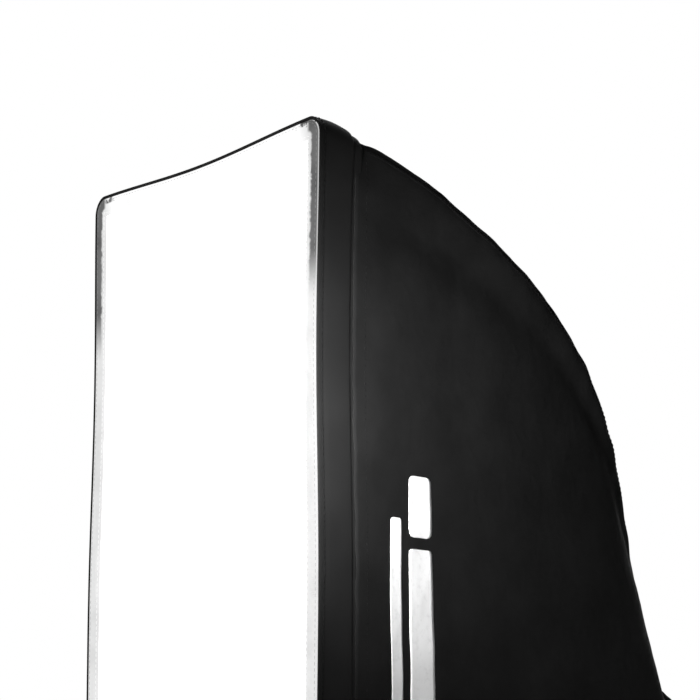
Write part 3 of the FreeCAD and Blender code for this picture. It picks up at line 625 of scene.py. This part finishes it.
def rim_stations(half_width, half_height, corner_r, spacing=0.003):
    """Stations round a rounded rectangle: x, z, outward normal x, z, and the distance travelled."""
    rows = []
    for turn in range(4):
        angle = turn * math.pi / 2
        upright = turn % 2 == 0
        half = half_height if upright else half_width
        out = half_width if upright else half_height
        count = int((half - corner_r) * 2 / spacing)
        normal = np.array([round(math.cos(angle)), round(math.sin(angle))])
        forward = np.array([-normal[1], normal[0]])
        for t in np.linspace(-1, 1, count, endpoint=False):
            rows.append((*(normal * out + forward * t * (half - corner_r)), *normal))
        centre = normal * (out - corner_r) + forward * (half - corner_r)
        for t in np.linspace(0, 1, 10, endpoint=False):
            bend = angle + t * math.pi / 2
            away = np.array([math.cos(bend), math.sin(bend)])
            rows.append((*(centre + away * corner_r), *away))
    rows = np.array(rows)
    steps = np.linalg.norm(np.roll(rows[:, :2], -1, axis=0) - rows[:, :2], axis=1)
    return rows, np.concatenate([[0], np.cumsum(steps)[:-1]])


RIM, RIM_DISTANCE = rim_stations(HALF_WIDTH, HALF_HEIGHT, CORNER_R)
CORNER_DISTANCE = np.hypot(HALF_WIDTH - np.abs(RIM[:, 0]), HALF_HEIGHT - np.abs(RIM[:, 1]))


def rim_points(depth, inset):
    """Points on the rim at a depth and an inset, each a number or one value per station."""
    x, z, nx, nz = RIM.T
    lean = depth / LIP_DEPTH
    wave = nx ** 2 * edge_inset(z / HALF_HEIGHT, True) + nz ** 2 * edge_inset(x / HALF_WIDTH, False)
    wave = np.where((np.abs(nx) > 0.99) | (np.abs(nz) > 0.99), wave, 0)
    px = x * (HALF_WIDTH - LEAN_ACROSS * lean) / HALF_WIDTH - nx * (inset + wave)
    pz = z * (HALF_HEIGHT - LEAN_ALONG * lean) / HALF_HEIGHT - nz * (inset + wave)
    return np.stack([px, FRONT_Y + depth + px * 0, pz], axis=-1)


def rim_loop(name, profile, materials, relief=None):
    """Closed band round the rim. The profile is a closed list of (depth, inset)."""
    columns = []
    travelled = [0.0]
    for index, (depth, inset) in enumerate(profile):
        shift = relief(depth, index) if relief else 0.0
        columns.append(rim_points(depth, inset - shift))
        if index:
            last_depth, last_inset = profile[index - 1]
            step = math.hypot(depth - last_depth, float(np.mean(inset)) - float(np.mean(last_inset)))
            travelled.append(travelled[-1] + step)
    points = np.stack(columns, axis=1)
    uv = uv_grid(RIM_DISTANCE, np.array(travelled))
    return grid_object(name, points, materials, uv, close_rows=True, close_cols=True)


# How far the shell stands in from the lip where the two meet
STEP = RIM[:, 2] ** 2 * 0.0016 + RIM[:, 3] ** 2 * 0.0046


def lip_relief(depth, index):
    """Slow waves in the lip, strongest half way back."""
    middle = math.sin(math.pi * min(max(depth / 0.027, 0), 1))
    x, z = RIM[:, 0], RIM[:, 1]
    slow = ripple(z, x, 0.14, 71) * 0.0005 + ripple(z, x, 0.045, 72) * 0.0002
    opening = math.sin(math.pi / 2 * min(max(depth / 0.020, 0), 1))
    flare = 0.0029 * np.exp(-(CORNER_DISTANCE / 0.030) ** 2) * opening
    return (slow * middle + flare) * (1 if index < LIP_OUTER_POINTS else 0.7)


LIP_PROFILE = [
    (0.0, 0.0006), (0.0001, 0.00025), (0.0005, 0.0), (0.0035, -0.0001), (0.0045, 0.0001), (0.006, -0.0003),
    (0.010, -0.0005), (0.014, -0.0006), (0.018, -0.0005), (0.022, -0.0003), (0.0255, 0.0), (0.0275, 0.0003),
    (0.0284, 0.0006), (0.0289, 0.0010), (0.0292, 0.0018), (0.0287, 0.0026), (0.0240, 0.0022), (0.016, 0.0018),
    (0.008, 0.0020), (0.0011, 0.0020), (0.00025, 0.0016)]
LIP_OUTER_POINTS = 15
lip = rim_loop("rim_lip", LIP_PROFILE, [LIP], lip_relief)
place(lip, "softbox", "lip_fabric", "lip_right", "lip_left", "lip_top", "lip_bottom")

piping_wave = ripple(RIM[:, 1], RIM[:, 0], 0.05, 73) * 0.00018
upright_station = np.abs(RIM[:, 2]) > 0.9
piping_profile = [
    (0.0284, 0.0015), (0.0293, 0.0014), (0.0302, 0.0013), (0.0314, 0.00115), (0.0327, 0.00105),
    (0.0340, 0.0011), (0.0352, 0.0012), (0.0363, 0.0014), (0.0372, np.where(upright_station, 0.0017, STEP)),
    (0.0374, STEP + 0.0014), (0.0345, STEP + 0.0020), (0.0300, STEP + 0.0016)]
RIDGE_OUTER_POINTS = 8
ridge_flare = 0.0020 * np.exp(-(CORNER_DISTANCE / 0.030) ** 2)


def ridge_relief(_, index):
    """Small waves on the ridge's outer points, and the whole ridge flared at the corners."""
    return (piping_wave if index < RIDGE_OUTER_POINTS else 0.0) + ridge_flare


piping = rim_loop("rim_ridge", piping_profile, [LIP], ridge_relief)
place(piping, "softbox", "binding_tape", "rim_piping")


def tape_profile(front, rear, inset, thickness):
    """Flat tape with softened edges."""
    soft = thickness * 0.3
    return [
        (front, inset + soft), (front + soft, inset), (rear - soft, inset), (rear, inset + soft),
        (rear, inset + thickness - soft), (rear - soft, inset + thickness), (front + soft, inset + thickness),
        (front, inset + thickness - soft)]


loop = rim_loop("lip_loop_pile", tape_profile(0.004, 0.026, 0.0022, 0.0008), [LOOP])
place(loop, "softbox", "hook_and_loop", "lip_loop_tape")
hook = rim_loop("diffuser_hook_pile", tape_profile(0.0024, 0.026, 0.0034, 0.0008), [HOOK])
place(hook, "diffuser", "hook_and_loop", "diffuser_hook_tape")

# ---- diffuser ----

BORDER_INSET = 0.0023
BORDER_WIDTH = 0.0135


def resample(points, count):
    """Even points along a line of points."""
    travelled = distances(points)
    return read_along(points, travelled, np.linspace(0, travelled[-1], count))


def filled(loop, corners, long_count, short_count):
    """Grid of points that fills a closed loop, between its right, top, left and bottom sides."""
    sides = []
    for start, end in zip(corners, np.roll(corners, -1)):
        index = np.arange(start, end + 1 if end > start else end + len(loop) + 1) % len(loop)
        sides.append(resample(loop[index], long_count if len(sides) % 2 == 0 else short_count))
    right, top, left, bottom = sides[0], sides[1][::-1], sides[2][::-1], sides[3]
    u = np.linspace(0, 1, short_count)[None, :, None]
    v = np.linspace(0, 1, long_count)[:, None, None]
    across = left[:, None] * (1 - u) + right[:, None] * u
    upwards = bottom[None] * (1 - v) + top[None] * v
    corner_part = (left[0] * (1 - u) + right[0] * u) * (1 - v) + (left[-1] * (1 - u) + right[-1] * u) * v
    return across + upwards - corner_part


def corner_stations(stations):
    """The stations in the middle of the four rounded corners, from the bottom right one round."""
    slant = np.abs(np.abs(stations[:, 2]) - np.abs(stations[:, 3]))
    middle = np.flatnonzero(slant < 0.06)
    first = middle[np.argmax(stations[middle, 0] - stations[middle, 1])]
    return np.roll(middle, -list(middle).index(first))


def front_bulge(x, z):
    """The cloth pulls flat, with long shallow tension waves."""
    edge = 1 - np.minimum(np.abs(x) / HALF_WIDTH, 1) ** 4
    return edge * (0.0006 * ripple(x, z * 0.35, 0.09, 81) + 0.0009)


front_edge = rim_points(0.0013, BORDER_INSET + 0.0012)
front_points = filled(front_edge, corner_stations(RIM), long_count=260, short_count=90)
front_points[..., 1] += front_bulge(front_points[..., 0], front_points[..., 2])
front_sheet = grid_object("diffuser_cloth", front_points, [FRONT_CLOTH], front_points[..., [0, 2]], flip=True)
thicken(front_sheet, -0.0006)
place(front_sheet, "diffuser", "diffusion_cloth", "front_diffuser")

border_profile = [
    (0.0012, BORDER_INSET), (0.0003, BORDER_INSET + 0.0003), (0.0, BORDER_INSET + 0.0012),
    (0.0001, BORDER_INSET + 0.004), (0.0001, BORDER_INSET + 0.009),
    (0.0002, BORDER_INSET + BORDER_WIDTH - 0.001), (0.0007, BORDER_INSET + BORDER_WIDTH),
    (0.0012, BORDER_INSET + BORDER_WIDTH)]
border = rim_loop("diffuser_edge_tape", border_profile, [EDGE_TAPE])
place(border, "diffuser", "white_tape", "diffuser_border")

# ---- corner seams ----

def corner_frame(corner, v, reach):
    """Points and normals on both walls at a distance from a corner seam, at shares v of its length."""
    x_sign, z_sign = CORNERS[corner]
    _, radius = seam_point(v)
    found = []
    for side, sign, share in (
            ("right" if x_sign > 0 else "left", z_sign, ALONG_SHARE),
            ("top" if z_sign > 0 else "bottom", x_sign, ACROSS_SHARE)):
        w = sign * (1 - reach / (radius * share))
        found.append((wall_surface(side, w, v), wall_normal(side, w, v)))
    return found


def corner_tape(corner):
    """Binding tape folded over a corner seam."""
    v = np.linspace(0.008, 0.985, 170)
    width = 0.0052
    edge, lift = 0.00005, 0.00022
    outline = [(width, -0.0004), (width, edge), (width * 0.88, lift), (width * 0.45, lift * 1.2)]

    def column(wall_index, reach, height):
        point, normal = corner_frame(corner, v, reach)[wall_index]
        return point + normal * height

    (ridge, first), (_, second) = corner_frame(corner, v, 0.0)
    outwards = unit(first + second)
    columns = [column(0, *spot) for spot in outline]
    columns.append(ridge + outwards * 0.0009)
    columns += [column(1, *spot) for spot in outline[::-1]]
    columns.append(ridge - outwards * 0.0020)
    points = np.stack(columns, axis=1)
    uv = uv_grid(v * SEAM_LENGTH, np.linspace(0, 2 * width, len(columns)))
    x_sign, z_sign = CORNERS[corner]
    made = grid_object(
        "corner_tape_" + corner, points, [BINDING], uv, close_cols=True, flip=x_sign * z_sign > 0)
    place(made, "softbox", "binding_tape", "corner_binding_" + corner)


for corner_name in CORNERS:
    corner_tape(corner_name)

# ---- stitches ----

STITCH_PITCH = 0.0040
STITCH_LENGTH = 0.0029


def stitch_points(path, normals, closed=False):
    """Middle, direction and normal of every stitch along a path."""
    if closed:
        path = np.vstack([path, path[:1]])
        normals = np.vstack([normals, normals[:1]])
    travelled = distances(path)
    count = int(travelled[-1] / STITCH_PITCH)
    middle = (np.arange(count) + 0.5) * travelled[-1] / count
    ahead, behind = (
        read_along(path, travelled, middle + way * STITCH_LENGTH / 2) for way in (1, -1))
    upwards = read_along(normals, travelled, middle)
    return read_along(path, travelled, middle), unit(ahead - behind), unit(upwards)


def stitches(name, rows, thread, body, slot, radius=0.00032):
    """Rows of stitches as one mesh, each stitch a short thread that dips in at both ends."""
    along = np.array([-1.0, -0.75, -0.25, 0.25, 0.75, 1.0]) * STITCH_LENGTH / 2
    lift = np.array([-1.2, 0.3, 0.9, 0.9, 0.3, -1.2]) * radius
    sizes = np.array([0.5, 0.95, 1.0, 1.0, 0.95, 0.5]) * radius
    turns = np.arange(6) * math.pi / 3
    points, faces, uv = [], [], []
    quads = grid_faces(len(along), len(turns), close_cols=True)
    size = len(along) * len(turns)
    caps = [list(range(len(turns)))[::-1], list(range(size - len(turns), size))]
    for middle, direction, normal in rows:
        sideways = np.cross(direction, normal)
        for centre, forward, up, side in zip(middle, direction, normal, sideways):
            start = len(points) * size
            rings = centre + np.outer(along, forward) + np.outer(lift, up)
            circle = np.outer(np.cos(turns), side) + np.outer(np.sin(turns), up)
            points.append((rings[:, None, :] + sizes[:, None, None] * circle[None]).reshape(-1, 3))
            uv.append(uv_grid(along, turns * radius).reshape(-1, 2))
            faces += [tuple(q + start) for q in quads] + [tuple(start + k for k in cap) for cap in caps]
    made = mesh_object(name, np.concatenate(points), faces, [thread], np.concatenate(uv))
    place(made, body, slot)


def wall_row(side, depth_share=None, reach=None, end=1, lift=0.0):
    """Row of stitches on a wall: across it at a share of its depth, or beside a corner seam."""
    if reach is None:
        w = np.linspace(-0.995, 0.995, 400)
        v = np.full_like(w, depth_share)
    else:
        v = np.linspace(0.02, 0.97, 260)
        _, radius = seam_point(v)
        w = end * (1 - reach / (radius * width_share(side)))
    normal = wall_normal(side, w, v)
    return stitch_points(wall_surface(side, w, v) + normal * lift, normal)


TOPSTITCH = 0.0111 / SEAM_LENGTH
topstitch_rows = [wall_row(side, TOPSTITCH) for side in SIDES]
stitches("rim_topstitch", topstitch_rows, THREAD, "softbox", "binding_tape")
corner_rows = [wall_row(side, reach=0.0038, end=end, lift=0.00020) for side in SIDES for end in (1, -1)]
stitches("corner_topstitch", corner_rows, THREAD, "softbox", "binding_tape", radius=0.00022)

rim_normals = np.stack([RIM[:, 2], RIM[:, 2] * 0, RIM[:, 3]], axis=-1)
hem_path = rim_points(0.0040, -0.00002 - lip_relief(0.004, 0))
hem_row = stitch_points(hem_path, rim_normals, closed=True)
stitches("lip_hem_stitch", [hem_row], THREAD, "softbox", "lip_fabric")
front_normals = np.tile([0.0, -1.0, 0.0], (len(RIM), 1))
for stitch_name, inset, thread, thread_r in (
        ("diffuser_stitch", 0.0022, GREY_THREAD, 0.00013),
        ("diffuser_inner_stitch", 0.0115, WHITE_THREAD, 0.00022)):
    row = stitch_points(rim_points(0.0001, BORDER_INSET + inset), front_normals, closed=True)
    stitches(stitch_name, [row], thread, "diffuser", "white_tape", radius=thread_r)

# ---- print ----

PRINT_LIFT = 0.00025


def wall_place(side, depth, z):
    """w and v of the point of an upright wall at a depth and a height."""
    samples = np.linspace(0, 1, 2001)
    depths, radii = seam_point(samples)
    v = np.interp(depth, depths, samples)
    w = z / (np.interp(v, samples, radii) * ALONG_SHARE)
    for _ in range(6):
        found = wall_base(side, w, v)[..., 2]
        w = w + (z - found) / (np.interp(v, samples, radii) * ALONG_SHARE)
    return w, v


def print_bar(name, depths, heights, corner):
    """Printed bar with rounded corners, lying on the right-hand wall."""
    low, high = np.array([depths[0], heights[0]]), np.array([depths[1], heights[1]])
    count = max(int((high[1] - low[1]) / 0.003), 12)
    t = np.linspace(0, 1, count)
    z = low[1] + (high[1] - low[1]) * (1 - np.cos(math.pi * t)) / 2
    from_end = np.minimum(z - low[1], high[1] - z)
    round_off = corner - np.sqrt(np.maximum(corner ** 2 - (corner - from_end) ** 2, 0))
    cut = np.where(from_end < corner, round_off, 0)
    rows = []
    for s in np.linspace(0, 1, 11):
        depth = (low[0] + cut) + (high[0] - low[0] - 2 * cut) * s
        w, v = wall_place("right", depth, z)
        rows.append(wall_surface("right", w, v) + wall_normal("right", w, v) * PRINT_LIFT)
    points = np.stack(rows, axis=1)
    uv = points[..., [1, 2]]
    made = grid_object(name, points, [PRINT], uv, flip=True)
    thicken(made, PRINT_LIFT * 0.9)
    place(made, "softbox", "white_tape")


print_bar("print_badge", (0.083, 0.106), (0.174, 0.216), 0.0045)
print_bar("print_broad_bar", (0.083, 0.106), (-0.070, 0.166), 0.0030)
print_bar("print_narrow_bar", (0.0645, 0.0755), (0.010, 0.186), 0.0025)

# ---- collar at the ring ----

def collar():
    """Gathered collar that closes the shell round the ring, with an elastic hem."""
    collar_high, ring_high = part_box("rear_collar")[1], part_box("ring_body")[1]
    rear, hem_r = collar_high.y, collar_high.x
    ring_r, ring_rear = ring_high.x + 0.0001, ring_high.y
    count = 360
    angle = np.linspace(0, 2 * math.pi, count, endpoint=False)
    folds = 0.5 + 0.5 * np.sin(angle * 54 + 0.8 * np.sin(angle * 5))
    profile = [
        (REAR_RADIUS + 0.0012, REAR_Y - 0.0012, 0.0), (REAR_RADIUS + 0.0016, REAR_Y + 0.0004, 0.2),
        (0.0955, REAR_Y + 0.0030, 0.6), (0.0942, REAR_Y + 0.0060, 0.9), (0.0935, REAR_Y + 0.0090, 1.0),
        (0.0930, REAR_Y + 0.0120, 1.0), (0.0928, rear - 0.0044, 0.6), (hem_r - 0.0026, rear - 0.0040, 0.4),
        (hem_r - 0.0014, rear - 0.0030, 0.4), (hem_r - 0.0010, rear - 0.0018, 0.4),
        (hem_r - 0.0018, rear - 0.0006, 0.4), (hem_r - 0.0036, rear - 0.0004, 0.4),
        (0.0912, rear - 0.0022, 0.2), (ring_r, ring_rear - 0.0008, 0.0), (ring_r, ring_rear - 0.0040, 0.0),
        (0.0915, REAR_Y + 0.0040, 0.0), (REAR_RADIUS - 0.0016, REAR_Y + 0.0004, 0.0)]
    columns = []
    for radius, y, fold in profile:
        r = radius - 0.0011 * fold * folds
        columns.append(np.stack([r * np.cos(angle), y + 0 * angle, r * np.sin(angle)], axis=-1))
    points = np.stack(columns, axis=1)
    uv = uv_grid(angle * REAR_RADIUS, np.linspace(0, 0.04, len(profile)))
    made = grid_object("gathered_collar", points, [SHELL], uv, close_rows=True, close_cols=True, flip=True)
    smooth = made.modifiers.new("smooth", "SUBSURF")
    smooth.levels = 1
    smooth.render_levels = 1
    place(made, "softbox", "shell_fabric", "rear_collar")


collar()

# ---- inner baffle ----

def baffle():
    """Inner diffusion sheet with its border tape and the straps that hold it to the seams."""
    low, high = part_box("inner_baffle")
    half_w, half_h = high.x, high.z
    depth_y = low.y
    stations, distance = rim_stations(half_w - 0.001, half_h - 0.001, 0.024, 0.004)
    x, z, nx, nz = stations.T

    def sag(px, pz):
        inside = (1 - np.minimum(np.abs(px) / half_w, 1) ** 2) * (1 - np.minimum(np.abs(pz) / half_h, 1) ** 6)
        return inside * (0.004 + 0.0012 * ripple(px, pz * 0.5, 0.12, 91))

    edge = np.stack([x, np.full_like(x, depth_y + 0.0006), z], axis=-1)
    points = filled(edge, corner_stations(stations), long_count=160, short_count=50)
    points[..., 1] += sag(points[..., 0], points[..., 2]) * 0.6
    sheet = grid_object("baffle_cloth", points, [BAFFLE_CLOTH], points[..., [0, 2]], flip=True)
    thicken(sheet, -0.0005)
    place(sheet, "softbox", "diffusion_cloth", "inner_baffle")

    tape_low, tape_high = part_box("baffle_border")
    columns = []
    profile = [(0.0, 0.0), (0.0003, 1.0), (0.018, 1.0), (0.0186, 0.4), (0.0186, 0.0)]
    for inset, lift in profile:
        px, pz = x - nx * inset, z - nz * inset
        y = tape_low.y + (tape_high.y - tape_low.y) * lift
        columns.append(np.stack([px, y + sag(px, pz) * 0.6 * (lift > 0), pz], axis=-1))
    points = np.stack(columns, axis=1)
    uv = uv_grid(distance, np.array([inset for inset, _ in profile]))
    tape = grid_object("baffle_edge_tape", points, [BAFFLE_TAPE], uv, close_rows=True, close_cols=True)
    place(tape, "softbox", "white_tape", "baffle_border")

    start_index = 0
    all_points, all_faces, all_uv = [], [], []
    diagonal = math.atan2(half_h, half_w)
    placements = [(math.hypot(half_w, half_h) - 0.020, 0.038, angle) for angle in
                  (diagonal, math.pi - diagonal, -diagonal, math.pi + diagonal)]
    placements += [(half_w - 0.018, 0.033, 0.0), (half_w - 0.018, 0.033, math.pi)]
    strap_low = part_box("baffle_straps")[0]
    for start, length, angle in placements:
        t, s = np.meshgrid(np.linspace(0, 1, 16), np.linspace(-1, 1, 7), indexing="ij")
        out = start + t * length
        side = s * 0.0085
        y = strap_low.y + 0.0002 + 0.0005 * np.sin(t * 9)
        px = out * math.cos(angle) - side * math.sin(angle)
        pz = out * math.sin(angle) + side * math.cos(angle)
        grid = np.stack([px, y, pz], axis=-1).reshape(-1, 3)
        all_points.append(grid)
        all_uv.append(np.stack([out, side], axis=-1).reshape(-1, 2))
        all_faces.append(grid_faces(*t.shape) + start_index)
        start_index += len(grid)
    straps = mesh_object(
        "baffle_webbing", np.concatenate(all_points), np.concatenate(all_faces), [WEBBING],
        np.concatenate(all_uv))
    thicken(straps, -0.0009)
    place(straps, "softbox", "webbing", "baffle_straps")


baffle()

# ---- rod pockets ----

def axis_of(node_name):
    """Middle, direction towards the rear and half length of a long round CAD node."""
    points = np.array([v.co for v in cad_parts[node_name].data.vertices])
    middle = (points.max(0) + points.min(0)) / 2
    _, _, directions = np.linalg.svd(points - points.mean(0), full_matrices=False)
    direction = directions[0] * np.sign(directions[0][1])
    along = (points - middle) @ direction
    return middle + direction * (along.max() + along.min()) / 2, direction, (along.max() - along.min()) / 2


def pocket(corner):
    """Webbing pocket for a rod's tip: a stitched sleeve, closed and folded flat at the front."""
    middle, direction, half = axis_of("corner_pocket_" + corner)
    up = unit(np.cross(direction, [0.0, 1.0, 0.0]))
    side = np.cross(up, direction)
    turns = np.linspace(0, 2 * math.pi, 40, endpoint=False)
    columns = []
    profile = [
        (-half, 0.0004, 0.0052), (-half + 0.001, 0.0018, 0.0058), (-half + 0.006, 0.0040, 0.0058),
        (-half + 0.011, 0.0054, 0.0057), (0.0, 0.0056, 0.0058), (half - 0.003, 0.0057, 0.0059),
        (half - 0.001, 0.0060, 0.0060), (half, 0.0058, 0.0058), (half, 0.0052, 0.0052),
        (half - 0.002, 0.0049, 0.0049), (-half + 0.014, 0.0049, 0.0049)]
    for along, radius_up, radius_side in profile:
        ring = middle + direction * along
        circle = np.outer(np.cos(turns) * radius_side, side) + np.outer(np.sin(turns) * radius_up, up)
        columns.append(ring + circle)
    points = np.stack(columns, axis=1)
    uv = uv_grid(turns * 0.006, np.linspace(0, 0.05, len(profile)))
    made = grid_object("rod_pocket_" + corner, points, [WEBBING], uv, close_rows=True)
    place(made, "softbox", "webbing", "corner_pocket_" + corner)


for corner_name in CORNERS:
    pocket(corner_name)

# ---- CAD pieces that stay ----

FRAME_MATERIALS = {
    "ring_body": painted_metal("ring_coat", 0.030, 0.42),
    "retaining_ring": painted_metal("retainer_coat", 0.045, 0.36),
    "adapter_flange": bare_metal("faced_aluminium", 0.52, 0.66, 0.30, (0.4, 6.0, 0.4)),
    "adapter_sleeve": bare_metal("turned_aluminium", 0.52, 0.66, 0.30, (0.4, 6.0, 0.4)),
    "grip_liner": rubber("liner_rubber", 0.018),
    "clamp_band": bare_metal("band_strip", 0.50, 0.62, 0.24, (0.5, 8.0, 0.5)),
    "clamp_bolt": bare_metal("plated_bolt", 0.55, 0.66, 0.28, (4.0, 4.0, 0.6)),
    "cam_pin": bare_metal("pin_steel", 0.60, 0.70, 0.18, (4.0, 0.6, 4.0)),
    "cam_washer": bare_metal("washer_steel", 0.55, 0.65, 0.30, (2.0, 2.0, 2.0)),
    "cam_lever": painted_metal("lever_coat", 0.035, 0.34),
    "adjuster_nut": bare_metal("brass", (0.55, 0.40, 0.18), (0.70, 0.53, 0.27), 0.26, (3.0, 3.0, 1.0)),
    "lock_knob": rubber("knob_plastic", 0.022),
    "lock_stud": bare_metal("stud_steel", 0.55, 0.66, 0.30, (4.0, 0.6, 4.0)),
    "retaining_screws": bare_metal("black_oxide", 0.10, 0.16, 0.35, (2.0, 2.0, 2.0)),
    "socket_screws": bare_metal("zinc_screws", 0.55, 0.66, 0.30, (2.0, 2.0, 2.0)),
    "rod_tips": rubber("tip_rubber", 0.020),
}
rod_steel = bare_metal("rod_steel", 0.50, 0.62, 0.26, (3.0, 0.5, 0.8))
socket_coat = painted_metal("socket_coat", 0.04, 0.40)
for corner_name in CORNERS:
    FRAME_MATERIALS["rod_" + corner_name] = rod_steel
    FRAME_MATERIALS["rod_socket_" + corner_name] = socket_coat
for node_name, finish in FRAME_MATERIALS.items():
    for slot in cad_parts[node_name].material_slots:
        slot.material = finish

# ---- stage, light and camera ----

FLOOR_SIZE = 1.9
floor_z = CAD_BOX[0].z - 0.001
floor_corners = [(x * FLOOR_SIZE, y * FLOOR_SIZE, floor_z) for x, y in ((-1, -1), (1, -1), (1, 1), (-1, 1))]
pale, _, _ = material("pale_floor", 0.9, Specular_IOR_Level=0.1, Base_Color=(0.86, 0.86, 0.86, 1))
floor = mesh_object("floor", floor_corners, [(0, 1, 2, 3)], [pale])

AMBIENT = 0.025


def studio_world():
    """White surroundings: pure white to look at, and a gentle light from all sides."""
    world = bpy.data.worlds.new("studio")
    world.use_nodes = True
    tree = world.node_tree
    seen = tree.nodes["Background"]
    seen.inputs["Color"].default_value = (1, 1, 1, 1)
    light = node(tree, "Background", {"Color": (1, 1, 1, 1), "Strength": AMBIENT})
    path = node(tree, "LightPath")
    mixed = node(tree, "MixShader", {0: path.outputs["Is Camera Ray"]})
    tree.links.new(light.outputs[0], mixed.inputs[1])
    tree.links.new(seen.outputs[0], mixed.inputs[2])
    tree.links.new(mixed.outputs[0], tree.nodes["World Output"].inputs["Surface"])
    bpy.context.scene.world = world


studio_world()


def area_light(name, position, target, size, power, spread=180):
    """Soft rectangular light that faces a target."""
    data = bpy.data.lights.new(name, "AREA")
    data.shape = "RECTANGLE"
    data.size, data.size_y = size
    data.energy = power
    data.spread = math.radians(spread)
    made = bpy.data.objects.new(name, data)
    made.location = position
    made.rotation_euler = (Vector(target) - Vector(position)).to_track_quat("-Z", "Y").to_euler()
    made.visible_camera = False
    bpy.context.scene.collection.objects.link(made)


area_light("near_key", (0.27, FRONT_Y - 0.15, 0.245), (0.15, FRONT_Y + 0.01, 0.252), (0.08, 0.12), 1.0, 95)
area_light("front", (-1.2, -3.2, 0.6), (0, -0.39, 0.1), (2.0, 2.0), 30.0)
area_light("back", (-2.1, 2.1, 1.4), (0, -0.10, 0.0), (1.6, 1.6), 85.0)
area_light("top", (-0.9, 0.5, 2.6), (0, -0.2, 0.0), (1.6, 1.6), 50.0)
area_light("left", (-2.8, 0.2, 0.4), (0, -0.2, 0.0), (1.2, 1.6), 50.0)

CAMERA_FROM_CORNER = Vector((1.285, -0.909, 0.0))
CAMERA_YAW = 54.0
CAMERA_PITCH = 10.49
LENS = 124.65
camera_data = bpy.data.cameras.new("camera")
camera_data.lens = LENS
camera_data.sensor_width = 36.0
camera = bpy.data.objects.new("camera", camera_data)
camera.location = Vector((HALF_WIDTH, FRONT_Y, 0.0)) + CAMERA_FROM_CORNER
camera.rotation_euler = (math.radians(90 + CAMERA_PITCH), 0, math.radians(CAMERA_YAW))
bpy.context.scene.collection.objects.link(camera)
bpy.context.scene.camera = camera
bpy.context.scene.view_settings.view_transform = "Standard"
